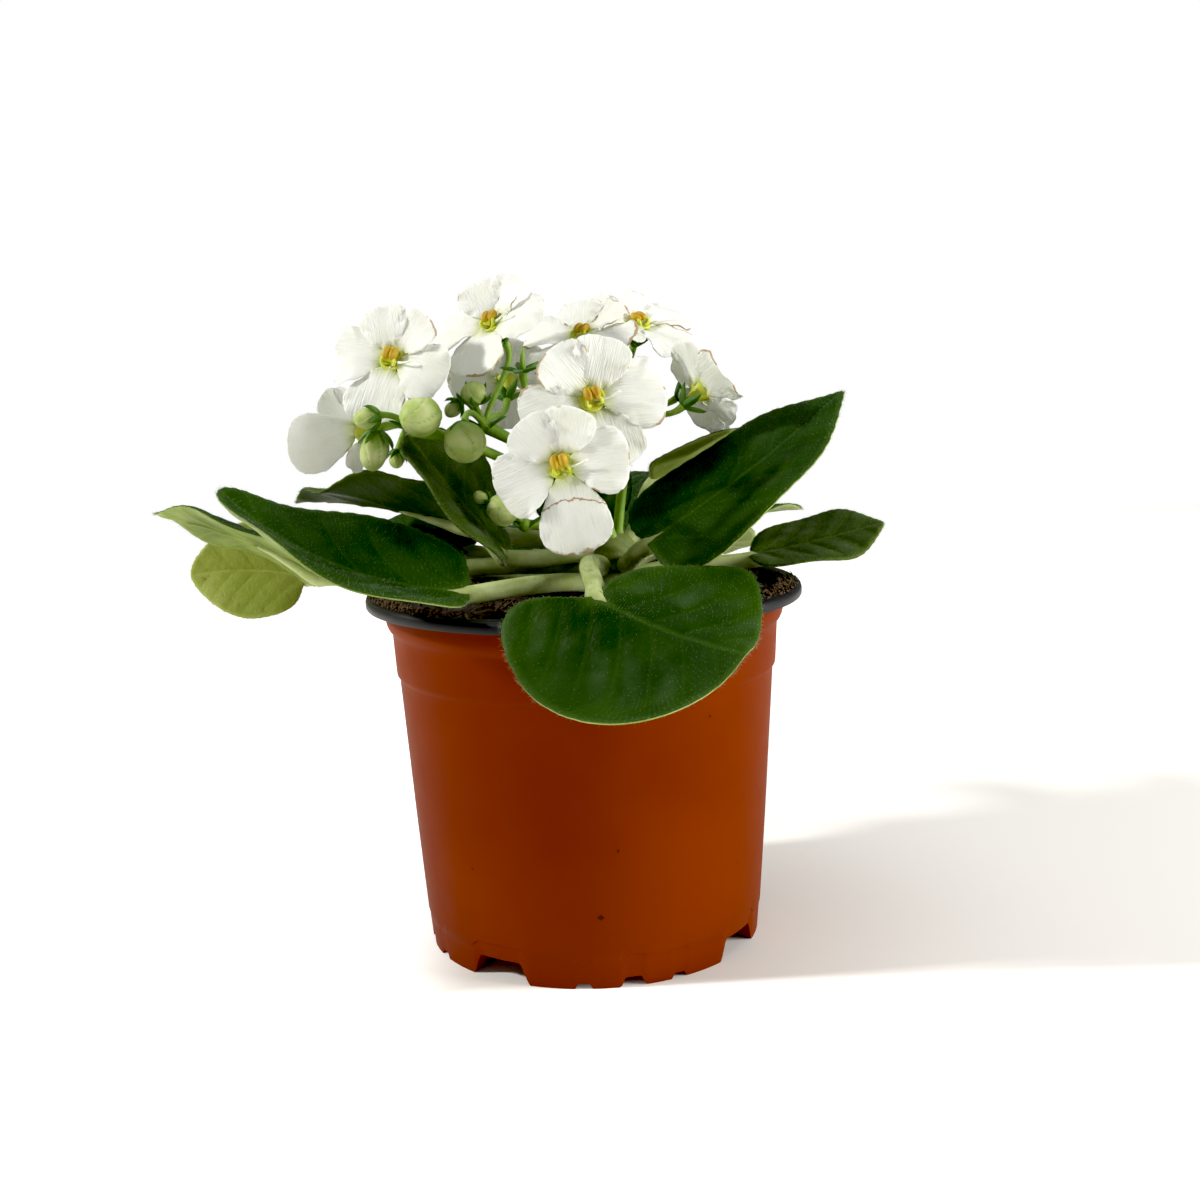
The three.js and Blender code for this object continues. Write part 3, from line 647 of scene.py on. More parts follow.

# %% [markdown]
# Leaf finishes
#
# The upper side is a deep green that looks dusty, because its down scatters light: a little sheen on a rough
# surface gives that, and a grey-green sheen is painted between the veins as well. Its margin and main veins
# are lighter. The underside is a pale grey-green with raised veins. Each leaf's colour is lightened by a
# value of its own, which is painted light, and three leaves have a lighter olive-green copy on both sides,
# painted light as well; one old leaf has gone yellow-green all over, with a brown spot. All are the same
# recipe with other colours.

# %% Leaf materials
def leaf_material(name, deep, bright, vein, painted_sheen, down, rib, lift, spots=0.0):
    """Deep and bright greens mixed by blotches, the margin, and painted light: the leaf's own lightening
    times lift; painted sheen bands between the veins, stronger with the same painted light, a pale base at
    the stem, veins over them, and down as sheen."""
    material = new_material(
        name, deep, 0.5, Sheen_Weight=down, Sheen_Roughness=0.35, Sheen_Tint=(0.8, 0.9, 0.8, 1.0),
        Specular_IOR_Level=0.09, Subsurface_Weight=0.04, Subsurface_Scale=0.002,
        Subsurface_Radius=(0.4, 1.0, 0.2),
    )
    tree = material.node_tree
    veins = node("Group", {"Blade": blade_place(tree)}, node_tree=VEINS)
    blotches = blotched(tree, 70.0, 0.35, 0.7)
    edge = attribute(tree, "edge")
    # Painted light: the leaf's own value, stored on the piece, lightens its colour and strengthens the
    # painted sheen.
    wear_and_painted_light = attribute(tree, "wear_and_painted_light") * lift
    lines = maths("MAXIMUM", veins["Veins"] * 0.4, veins["Midrib"])
    layers = [
        (blotches["Mask"] * 0.45 + ramp(edge, 0.4, 1.0) * 0.25 + wear_and_painted_light, bright),
        # Painted sheen: grey-green between the veins, where the down would catch the light.
        (veins["Between"] * blotches["Mask"] * wear_and_painted_light, painted_sheen),
        (veins["Base"] * 0.6, vein),
        (lines * rib, vein),
        (ramp(edge, 0.93, 1.0) * 0.4, vein),
    ]
    if spots:
        layers.append((blotched(tree, 150.0, 0.68, 0.74)["Mask"] * spots, (0.10, 0.045, 0.012)))
    relief = blotches["Grain"] + veins["Net"] * -0.15
    return joined(material, (relief, 0.0004, 0.6), Base_Color=painted(deep, *layers))


LEAF_TOP = leaf_material(
    "leaf upper side", (0.005, 0.024, 0.001), (0.025, 0.064, 0.004), (0.055, 0.11, 0.014), (0.08, 0.11, 0.07),
    down=0.02, rib=0.3, lift=0.25,
)
# Painted light: a lighter copy of the upper side for three leaves that catch more light than the lamps give
# them.
PAINTED_LIGHT_LEAF_TOP = leaf_material(
    "light leaf", (0.018, 0.040, 0.003), (0.048, 0.088, 0.010), (0.11, 0.15, 0.025), (0.13, 0.16, 0.09),
    down=0.03, rib=0.6, lift=0.25,
)
LEAF_UNDER = leaf_material(
    "leaf underside", (0.035, 0.070, 0.006), (0.25, 0.32, 0.07), (0.32, 0.38, 0.12), (0.32, 0.37, 0.17),
    down=0.08, rib=0.5, lift=0.9,
)
OLD_LEAF_TOP = leaf_material(
    "old leaf upper side", (0.17, 0.21, 0.03), (0.25, 0.285, 0.055), (0.36, 0.40, 0.10), (0.35, 0.38, 0.14),
    down=0.06, rib=0.3, lift=0.4, spots=0.8,
)
OLD_LEAF_UNDER = leaf_material(
    "old leaf underside", (0.20, 0.24, 0.02), (0.28, 0.32, 0.04), (0.36, 0.40, 0.08), (0.35, 0.38, 0.12),
    down=0.1, rib=0.6, lift=0.4,
)
LEAF_FINISHES = dict(
    plain=(LEAF_TOP, LEAF_UNDER),
    light=(PAINTED_LIGHT_LEAF_TOP, PAINTED_LIGHT_LEAF_TOP),
    old=(OLD_LEAF_TOP, OLD_LEAF_UNDER),
)


def soft_material(name, low, high, roughness, scale, spread, bump, base=None, crease_shade=None, **sockets):
    """A colour that wanders between two, with a fine grain. A base colour fades out from the foot of the
    surface, and a darker crease colour, painted shade, shows where the edge value is high."""
    material = new_material(name, low, roughness, Specular_IOR_Level=0.3, **sockets)
    tree = material.node_tree
    blotches = blotched(tree, scale, *spread)
    layers = [(blotches["Mask"], high)]
    if base:
        layers.append((ramp(split(blade_place(tree))["X"], 0.7, 0.0), base))
    # Painted shade in the creases: the laps of a bud and the slit of an anther.
    if crease_shade:
        layers.append((attribute(tree, "edge") * 0.7, crease_shade))
    return joined(material, (blotches["Grain"], *bump), Base_Color=painted(low, *layers))


def plain_green(name, low, high, roughness, down=0.1):
    """A green skin, with a little sheen for its down and some light let through."""
    return soft_material(
        name, low, high, roughness, scale=160.0, spread=(0.3, 0.7), bump=(0.0002, 0.6), Sheen_Weight=down,
        Sheen_Roughness=0.4, Sheen_Tint=(0.9, 0.95, 0.85, 1.0), Subsurface_Weight=0.12,
        Subsurface_Scale=0.002, Subsurface_Radius=(0.5, 1.0, 0.3),
    )


PETIOLE_GREEN = plain_green("petiole", (0.30, 0.36, 0.11), (0.44, 0.50, 0.22), 0.5)
STALK_GREEN = plain_green("flower stalk", (0.14, 0.26, 0.02), (0.24, 0.38, 0.05), 0.5)
SEPAL_GREEN = plain_green("sepal", (0.04, 0.12, 0.008), (0.10, 0.21, 0.025), 0.55)
CROWN_GREEN = plain_green("crown", (0.09, 0.13, 0.02), (0.18, 0.22, 0.06), 0.6)
THROAT_GREEN = plain_green("throat", (0.46, 0.52, 0.03), (0.64, 0.66, 0.10), 0.45, down=0.0)
HAIR = new_material("hair", (0.24, 0.30, 0.18), 0.4, Specular_IOR_Level=0.4)
print("leaf finishes:", list(LEAF_FINISHES))

# %% [markdown]
# Flower finishes
#
# Petals are nearly white, thin and a little translucent, so light that enters them spreads: subsurface
# scattering does that. Close to the throat they turn yellow-green. Each bloom has its own wear, which turns
# parts of its margins brown. Buds and anthers are soft colours with painted shade in their creases.

# %% Flower materials
def petal_material(name, scar=0.0):
    """White with creamy patches and a yellow-green base, fine creases from base to tip, and brown where the
    margin has worn. A scar adds a brown line where the petal has been folded across, at this share of its
    length."""
    white = (0.83, 0.84, 0.76)
    material = new_material(
        name, white, 0.6, Subsurface_Weight=0.3, Subsurface_Scale=0.003, Subsurface_Radius=(1.0, 1.0, 0.8),
        Specular_IOR_Level=0.3,
    )
    tree = material.node_tree
    blade = blade_place(tree)
    place = split(blade)
    worn = {"Edge": attribute(tree, "edge"), "Wear": attribute(tree, "wear_and_painted_light")}
    bruise = node("Group", worn, node_tree=BRUISES)["Bruise"]
    layers = [
        (blotched(tree, 80.0, 0.4, 0.7)["Mask"] * 0.6, (0.73, 0.74, 0.60)),
        (ramp(place["X"], 0.30, 0.0), (0.58, 0.64, 0.26)),
        (bruise * 0.85, (0.27, 0.14, 0.03)),
    ]
    if scar:
        bow = place["X"] + (place["Y"] - 0.6) ** 2.0 * -0.5 + noise(blade, 9.0, 3.0) * -0.12 - scar
        layers.append((ramp(abs(bow), 0.016, 0.004) * 0.85, (0.30, 0.15, 0.03)))
    stretched = node("VectorMath", {0: blade, 1: (2.5, 34.0, 1.0)}, operation="MULTIPLY")[0]
    lines = noise(stretched, 1.0, 3.0)
    return joined(material, (lines, 0.0005, 0.75), Base_Color=painted(white, *layers))


PETAL = petal_material("petal")
FOLDED_PETAL = petal_material("folded petal", scar=0.26)
STYLE_WHITE = plain_green("style", (0.72, 0.78, 0.60), (0.85, 0.88, 0.78), 0.4)
# Buds and anthers get painted shade in their creases.
BUD_PETAL = soft_material(
    "bud petal", (0.34, 0.44, 0.11), (0.52, 0.58, 0.25), 0.5, scale=200.0, spread=(0.3, 0.7),
    bump=(0.0002, 0.5), base=(0.17, 0.29, 0.03), crease_shade=(0.14, 0.22, 0.02), Subsurface_Weight=0.2,
    Subsurface_Scale=0.003,
)
ANTHER_YELLOW = soft_material(
    "anther", (0.44, 0.25, 0.010), (0.60, 0.42, 0.03), 0.5, scale=420.0, spread=(0.35, 0.7),
    bump=(0.0003, 0.6), crease_shade=(0.24, 0.10, 0.008),
)
print("flower finishes:", [m.name for m in (PETAL, FOLDED_PETAL, STYLE_WHITE, BUD_PETAL, ANTHER_YELLOW)])

# %% [markdown]
# Pot and potting mix
#
# The pot is moulded in two layers: satin orange-brown outside and black inside, with the black layer turned
# out over the rim. A thin plastic wall has few marks, mostly specks of soil. The mix is dark peat.

# %% Pot and soil materials
def plastic_material(name, colour, other, roughness, speck, shine, ior):
    """A moulded plastic: a slow wander of colour, a few specks of soil, and an uneven gloss."""
    material = new_material(name, colour, roughness, Specular_IOR_Level=shine, IOR=ior)
    tree = material.node_tree
    slow = blotched(tree, 14.0, 0.35, 0.65)
    specks = blotched(tree, 240.0, 0.73, 0.75)["Mask"] * speck
    return joined(
        material, (slow["Grain"], 0.0002, 0.25),
        Base_Color=painted(colour, (slow["Mask"], other), (specks, (0.025, 0.012, 0.006))),
        Roughness=slow["Grain"] * 0.12 + roughness,
    )


def soil_material():
    """Dark peat: three browns mixed by cells and noise, rough all over."""
    dark = (0.008, 0.005, 0.003)
    material = new_material("potting mix", dark, 0.95)
    tree = material.node_tree
    crumbs = node("TexVoronoi", {"Vector": object_place(tree), "Scale": 480.0})
    light = ramp(node("SeparateColor", {0: crumbs["Color"]})[0], 0.78, 1.0)
    blotches = blotched(tree, 90.0, 0.35, 0.7)
    colour = painted(dark, (blotches["Mask"], (0.028, 0.017, 0.009)), (light, (0.10, 0.06, 0.032)))
    return joined(material, (crumbs["Distance"], 0.0008, 0.8), Base_Color=colour)


TERRACOTTA = plastic_material(
    "terracotta plastic", (0.14, 0.019, 0.0005), (0.17, 0.026, 0.0006), 0.48, speck=0.8, shine=0.25,
    ior=1.2,
)
BLACK_PLASTIC = plastic_material(
    "black plastic", (0.006, 0.006, 0.007), (0.012, 0.011, 0.010), 0.38, speck=0.3, shine=0.3,
    ior=1.45,
)
POTTING_MIX = soil_material()
FIBRE_BROWN = new_material("fibre", (0.13, 0.075, 0.035), 0.8)
CRUMB_BROWN = new_material("crumb", (0.09, 0.056, 0.03), 0.9)
print("materials:", len(bpy.data.materials))

# %% [markdown]
# The leaves
#
# Each leaf is given by where its blade meets its stem, which way it points, and how it bends, folds and
# rolls. The numbers are the solids' own, but for a thinner margin and a few finer teeth, lobes and waves. A
# leaf stem rises from one of three heights on the crown, arrives under the blade, runs on below the midrib
# and thins out.

# %% Leaf data
CROWN_X = 8.0
CROWN_RADIUS = 7.5
TIER_HEIGHTS = (98.5, 103.2, 107.8)
PETIOLE_RADIUS = 2.5
# A leaf's lightening value and the lighter finish of three leaves are painted light: they lighten leaves that
# catch more light than the lamps give them.
LEAF_DEFAULTS = dict(
    pitch=15, bend=20, roll=0, twist=0, length=50, width=44, fold=(12, 8), cup=(10, 10), lobe=0.42, heel=0,
    heart=4, belly=0.16, point=0.5, tooth=0.018, teeth=44, wave=0.8, waves=5, phase=0.0, tier=1, rise=5,
    root_turn=0, arrive=None, thickness=1.5, margin=0.7, press=1.0, wear_and_painted_light=0.25, finish="plain",
)
LEAVES = dict(
    leaf_front=dict(
        joint=(3, -61.3, 105), heading=67, pitch=-29, bend=-21, roll=46.5, twist=-30, length=39.3, width=63,
        fold=(-30, -18), cup=(22, 51), lobe=0.26, heel=1.24, heart=2, belly=-0.66, rise=7, root_turn=-22,
        arrive=(2, 10, 2), tooth=0.007, wear_and_painted_light=0.8,
    ),
    leaf_front_left=dict(
        joint=(-28, -42, 104), heading=-85, pitch=2, bend=-46, roll=-20, twist=14, length=67, width=47,
        fold=(12, 9), lobe=0.05, heel=0.15, tier=0, rise=4, arrive=(16, 8, 1), wear_and_painted_light=0.1,
    ),
    leaf_left=dict(
        joint=(-72, -4, 104), heading=-97, pitch=33, bend=23, roll=29, length=49, width=34, fold=(0, -4),
        cup=(-12, 6), wave=1.1, rise=3, root_turn=4, arrive=(22, 1, 0), wear_and_painted_light=0.35,
    ),
    leaf_old=dict(
        joint=(-81, 20, 100), heading=-94, pitch=13, bend=22, roll=-58, twist=-12, length=34, width=30,
        fold=(6, 6), lobe=0.3, tooth=0.008, wave=0.4, tier=0, rise=5, root_turn=-8, arrive=(20, -4, 2),
        press=0.45, finish="old",
    ),
    leaf_left_back=dict(
        joint=(-33, 11, 115), heading=-112, pitch=15, bend=14, roll=33, twist=-30, length=55, width=40,
        fold=(12, -2), wave=1.7, waves=7, tier=2, rise=3, root_turn=-14, wear_and_painted_light=0.6, finish="light",
    ),
    leaf_left_low=dict(
        joint=(-33, 25, 106), heading=-116, pitch=7, bend=14, roll=-18, length=46, width=36, tier=0, rise=3,
        root_turn=-29,
    ),
    leaf_inner_left=dict(
        joint=(-20, -9.5, 108.3), heading=-80, pitch=49, bend=-8, roll=-10, twist=-20, length=42, width=50,
        fold=(0, 12), lobe=0.2, belly=0.0, tier=2, rise=-1, root_turn=6, arrive=(8, 1, -1), wear_and_painted_light=1.6,
        finish="light",
    ),
    leaf_front_right=dict(
        joint=(17, -22, 112), heading=98, pitch=29, bend=-12, roll=19, twist=-7, length=65, width=50,
        fold=(-6, 2), lobe=0.35, belly=0.22, rise=2, root_turn=12, arrive=(-4, 6, -2),
    ),
    leaf_right=dict(
        joint=(48, 12, 103), heading=85, pitch=9, bend=-8, roll=6, twist=20, length=38, width=35,
        fold=(2, -4), lobe=0.3, tier=0, wear_and_painted_light=2.0, finish="light",
    ),
    leaf_right_back=dict(
        joint=(20, 16, 125), heading=103, pitch=17, bend=2, roll=-20, twist=10, length=47, width=38,
        fold=(8, 0), tier=2, root_turn=-16, arrive=(-4, -4, -6), wear_and_painted_light=1.2,
    ),
    leaf_inner_right=dict(
        joint=(0, 16, 113), heading=-172, pitch=60, roll=-4, length=40, width=32, fold=(16, 10), tier=2,
        rise=3,
    ),
    leaf_back_right=dict(
        joint=(32, 34, 108), heading=134, pitch=16, bend=26, roll=8, length=48, width=38, root_turn=-12,
    ),
    leaf_back=dict(
        joint=(7, 38, 105), heading=177, pitch=36, bend=36, roll=-6, length=50, width=41, root_turn=-8,
    ),
    leaf_back_left=dict(joint=(-14, 39, 102.3), heading=-160, pitch=14, bend=24, roll=4, length=50, width=42),
    leaf_back_low=dict(
        joint=(30, 50, 103), heading=152, pitch=0, bend=26, roll=4, length=38, width=34, tier=0, rise=7,
    ),
)
print("leaves:", len(LEAVES))

# %% [markdown]
# Making a leaf
#
# The upper face is pressed in along its veins and pillows up between them, and the lower face carries the
# veins as ribs. The old leaf has lost most of this relief. Long soft hairs stand on the blade, its margin and
# its stem.

# %% Leaf pieces
LEAF_RINGS = (26, 14)
LEAF_HAIRS = 2000
MARGIN_HAIRS = 900
PETIOLE_HAIRS = 420
UNDER_BLADE = (
    (0.0, 1.15, 0.96), (0.02, 1.5, 0.88), (0.06, 1.6, 0.76), (0.14, 1.4, 0.6), (0.28, 1.0, 0.4),
    (0.45, 0.7, 0.2),
)


def leaf_relief(at):
    """Height added along the facing: -0.35 mm at the midrib, -0.2 mm at veins, +0.4 mm between, and the
    opposite, stronger for the ribs, below. It fades out at the margin."""
    middle, side, pillow = vein_masks(at["along"], at["across"])
    fade = clamp((1 - at["share"]) / 0.06)
    puckers = 0.12 * np.sin(31 * at["along"] + at["phase"]) * np.sin(17 * at["across"] + 2 * at["phase"])
    above = 0.4 * pillow - 0.35 * middle - 0.2 * side + puckers
    below = 0.6 * middle + 0.35 * side - 0.15 * pillow
    return at["press"] * fade * np.where(at["face"] > 0, above, np.where(at["face"] < 0, -below, 0.0))


def petiole_path(leaf, blade):
    """A Bezier curve from the crown to the joint, then on under the midrib; and its radii."""
    root = np.array([CROWN_X, 0.0, TIER_HEIGHTS[leaf["tier"]]])
    level = blade["joint"] - root
    away = turn_about(unit(level * [1, 1, 0]), UP, leaf["root_turn"])
    start = root + away * CROWN_RADIUS * 0.5
    reach = np.linalg.norm(blade["joint"] - start)
    shares, depths, thinning = np.array(UNDER_BLADE).T
    places, facings = blade_points(blade, shares * blade["length"], np.zeros(len(shares)))
    under = places - facings * depths[:, None]
    into = unit(blade_points(blade, np.array(1.0), np.array(0.0))[0] - blade["joint"])
    back = np.array(leaf["arrive"], float) if leaf["arrive"] else into * -0.35 * reach
    curve = bezier([start, start + away * reach * 0.35 + UP * leaf["rise"], under[0] + back, under[0]], 30)
    thick = np.interp(np.linspace(0, 1, len(curve)), [0, 0.25, 1], [1.12, 1.0, thinning[0]])
    return np.concatenate([curve, under[1:]]), PETIOLE_RADIUS * np.concatenate([thick, thinning[1:]])


def make_leaf(name, given, number):
    """The blade as a closed sheet, its stem, and its hairs, in one piece."""
    rng = np.random.default_rng(100 + number)
    leaf = {**LEAF_DEFAULTS, **given}
    place = dict(joint=np.array(leaf["joint"], float), forward=heading_vector(leaf["heading"]), up=UP)
    blade = {**leaf, **place}
    sheet, points, facing, share = blade_surface(blade, leaf_relief, LEAF_RINGS)
    path, radii = petiole_path(leaf, blade)
    parts = [
        sheet,
        tube(path, radii, sides=14, material=2),
        sheet_hairs(points, facing, share, LEAF_RINGS[0], LEAF_HAIRS, MARGIN_HAIRS, length=1.25, rng=rng),
        stem_hairs(path[:-3], PETIOLE_RADIUS, PETIOLE_HAIRS, length=1.5, rng=rng),
    ]
    slot = "old_leaf" if leaf["finish"] == "old" else "leaf"
    materials = [*LEAF_FINISHES[leaf["finish"]], PETIOLE_GREEN, HAIR]
    return add_piece(name + "_blade", parts, materials, [name], leaf["wear_and_painted_light"])


leaf_pieces = [make_leaf(name, given, number) for number, (name, given) in enumerate(LEAVES.items())]
print("leaf pieces:", len(leaf_pieces), "of", len(leaf_pieces[0].data.polygons), "faces")

# %% [markdown]
# The blooms
#
# A bloom has five petals on a short tube: two small ones above, two at the sides and a long one below. They
# are blades without lobes, widest past their middle, joined at the throat. Two filaments bend up under the
# pair of anthers, and a thin style leans out to one side. Each bloom has its own place, heading and tilt.

# %% Bloom data
PETAL_DEFAULTS = dict(
    lobe=0, heel=0, heart=4, belly=-0.46, point=0, tooth=0.03, teeth=22, wave=0.5, waves=3, phase=0.0, roll=0,
    twist=0, fold=(6, 0), cup=(6, 6), thickness=0.62, margin=0.34,
)
PETAL_SET = (
    dict(clock=-29, length=12.5, width=12.4, pitch=24, bend=18),
    dict(clock=29, length=12.5, width=12.4, pitch=24, bend=18, phase=1.0),
    dict(clock=100, length=15, width=15.2, pitch=16, bend=26, phase=2.0),
    dict(clock=180, length=16.5, width=16.8, pitch=12, bend=34, phase=3.0),
    dict(clock=-100, length=15, width=15.2, pitch=16, bend=26, phase=4.0),
)
PETAL_ROOT = 2.2
PETAL_RINGS = (13, 8)
TUBE_LENGTH = 5.0
BLOOMS = dict(
    bloom_left=dict(at=(-48, -11, 161.5), heading=-16, rise=26, spin=14, wear=0.5),
    bloom_low_left=dict(
        at=(-59, 1, 143), heading=-112, rise=-4, spin=0, close=22, wear=0.3,
        petals={100: dict(length=21, width=15, pitch=8, bend=-8), 180: dict(length=10, width=10)},
    ),
    bloom_top=dict(at=(-22, -2, 170), heading=-38, rise=46, spin=-10, upright=12, wear=0.6),
    bloom_behind=dict(at=(-20, 21, 154), heading=180, rise=46, spin=0, wear=0.2),
    bloom_back_left=dict(at=(2, 8, 166), heading=-25, rise=58, spin=10, wear=0.8),
    bloom_back_right=dict(at=(18, 23, 169), heading=30, rise=62, spin=-20, wear=0.4),
    bloom_front_high=dict(
        at=(4, -32, 150), heading=8, rise=18, spin=-13, size=1.12, petals={180: dict(length=14.8)}, wear=0.35,
    ),
    bloom_front_low=dict(
        at=(-4, -42.5, 134.5), heading=-8, rise=8, spin=-14, petals={180: dict(length=20, pitch=4, bend=4)},
        wear=0.5, folded=180,
    ),
    bloom_right=dict(
        at=(33, -5, 150.2), heading=118, rise=34, spin=30, petals={180: dict(length=10, width=11, bend=6)},
        wear=0.9,
    ),
    bloom_right_back=dict(at=(34, 27, 151), heading=100, rise=30, spin=0, wear=0.3),
)


def bloom_frame(bloom):
    """The way across, the way to the top, and the way it faces, with the throat's place."""
    level = heading_vector(bloom["heading"])
    rise = math.radians(bloom["rise"])
    face = level * math.cos(rise) + UP * math.sin(rise)
    top = turn_about(UP * math.cos(rise) - level * math.sin(rise), face, -bloom.get("spin", 0))
    return np.cross(top, face), top, face, np.array(bloom["at"], float)


def placed(frame, points):
    """Points given across, to the top and forward of the throat, put in the plant's own frame."""
    across, top, face, centre = frame
    return centre + np.asarray(points, float) @ np.array([across, top, face])


print("blooms:", len(BLOOMS))

# %% [markdown]
# Making a bloom
#
# The petals are thin, so their relief is slight: creases that fan out from the base, and ruffles that grow
# to the margin. The throat is a funnel turned about the bloom's axis, and an anther is a rounded lobe with
# a slit.

# %% Bloom pieces
def petal_relief(at):
    """The same shift for both faces: fanned creases 0.12 sin(14 across / along) and ruffles of two more
    frequencies, growing with share^2 and share^4."""
    fan = np.sin(14 * at["across"] / np.maximum(at["along"], 0.25) + at["phase"])
    ruffle = 0.35 * np.sin(7 * at["turn"] + 2.3 * at["phase"]) + 0.2 * np.sin(12 * at["turn"] + at["phase"])
    return 0.12 * fan * at["share"] ** 2 * (1 - at["share"] ** 6) + ruffle * at["share"] ** 4


def petal_blade(frame, kind, bloom):
    """A petal's blade: its forward lies in the bloom's plane at its clock angle, and its up is the face."""
    across, top, face, centre = frame
    own = {**PETAL_DEFAULTS, **kind, **bloom.get("petals", {}).get(kind["clock"], {})}
    size = bloom.get("size", 1.0)
    clock = math.radians(own["clock"])
    forward = top * math.cos(clock) + across * math.sin(clock)
    upright = bloom.get("upright", 0) if abs(own["clock"]) < 60 else 0
    return {
        **own, "forward": forward, "up": face, "joint": centre + forward * PETAL_ROOT,
        "pitch": own["pitch"] + bloom.get("close", 0) + upright, "phase": own["phase"] + centre[0],
        "length": own["length"] * size, "width": own["width"] * size,
    }


def lathe(profile, sides, material=0):
    """A profile of (radius, z) pairs turned about +Z: x = r cos a, y = r sin a."""
    profile = np.array(profile, float)
    a = around(sides)
    ring = np.stack([np.cos(a), np.sin(a), np.ones(sides)], -1)
    return grid_surface(profile[:, None, [0, 0, 1]] * ring, True, material)


THROAT_PROFILE = (
    (0, -5), (1.4, -5), (1.5, -3.5), (1.8, -1.6), (3.0, -0.2), (3.5, 0.5), (3.1, 0.9), (2.2, 0.3), (0, 0.1),
)
FILAMENT = ((0.7, -1.4, 0.2), (2.4, -2.4, 1.6), (2.2, -1.2, 2.6), (1.1, 0.1, 2.1))
FILAMENT_RADII = (0.55, 0.4)
STYLE = ((0.5, -0.4, 0.3), (2.8, -1.3, 1.7), (5, -1.4, 2.8), (7, -0.5, 3.3))
STYLE_RADII = ((0, 0.38), (13, 0.26), (15, 0.42))
ANTHER_PLACE = (1.05, 0.8, 2.3)
ANTHER_SIZE = (1.18, 1.8, 1.15)
SLIT_WIDTH = 0.22
SLIT_DEPTH = 0.10


def make_bloom(name, bloom):
    """Five petals, the throat, two filaments and the style, in one piece."""
    frame = bloom_frame(bloom)
    parts = []
    for kind in PETAL_SET:
        finish = 3 if kind["clock"] == bloom.get("folded") else 0
        blade = petal_blade(frame, kind, bloom)
        parts.append(blade_surface(blade, petal_relief, PETAL_RINGS, 56, (finish, finish))[0])
    throat = lathe(THROAT_PROFILE, sides=28, material=1)
    parts.append({**throat, "points": placed(frame, throat["points"])})
    for side in (-1, 1):
        filament = bezier(np.array(FILAMENT) * [side, 1, 1], 12)
        parts.append(tube(placed(frame, filament), np.linspace(*FILAMENT_RADII, 12), sides=8, material=1))
    radii = np.interp(np.arange(16), *np.array(STYLE_RADII).T)
    parts.append(tube(placed(frame, bezier(STYLE, 16)), radii, sides=8, material=2))
    materials = [PETAL, THROAT_GREEN, STYLE_WHITE, FOLDED_PETAL]
    return add_piece(name + "_petals", parts, materials, [name], bloom["wear"])


def make_anthers(name, bloom):
    """Two lobes side by side, each an egg with its long axis upright: its radius falls with the cosine of the
    latitude v and is pinched at a slit that runs down the front."""
    frame = bloom_frame(bloom)
    aside, up, forward = ANTHER_PLACE
    wide, tall, deep = ANTHER_SIZE
    parts = []
    v = np.linspace(-np.pi / 2, np.pi / 2, 17)[:, None]
    u = around(28)[None, :]
    from_front = np.abs((u - np.pi / 2 + np.pi) % FULL_TURN - np.pi)
    slit = bell(from_front, SLIT_WIDTH) * np.cos(v) ** 0.5
    radius = np.cos(v) ** 0.8 * (1 - SLIT_DEPTH * slit)
    for side in (-1, 1):
        x = side * aside + wide * radius * np.cos(u)
        y = up + tall * np.sin(v) * np.ones_like(u)
        z = forward + deep * radius * np.sin(u)
        points = placed(frame, np.stack([x, y, z], -1))
        # The slit is stored as the edge value, where painted shade darkens the anther.
        parts.append(grid_surface(points, True, 0, None, clamp(slit)))
    return add_piece(name + "_pair", parts, [ANTHER_YELLOW], [name])


for name, bloom in BLOOMS.items():
    make_bloom(name, bloom)
    make_anthers(name.replace("bloom", "anthers"), bloom)
print("petals per bloom:", len(PETAL_SET))

# %% [markdown]
# Flower stalks and buds
#
# A stalk rises from the crown to a pair of bracts and fans out there. Every bloom and bud has a thin stem of
# its own and sits in five narrow hairy sepals. A bud's petals lie over one another in a spiral, which shows
# as five soft ridges that wind up to its tip.

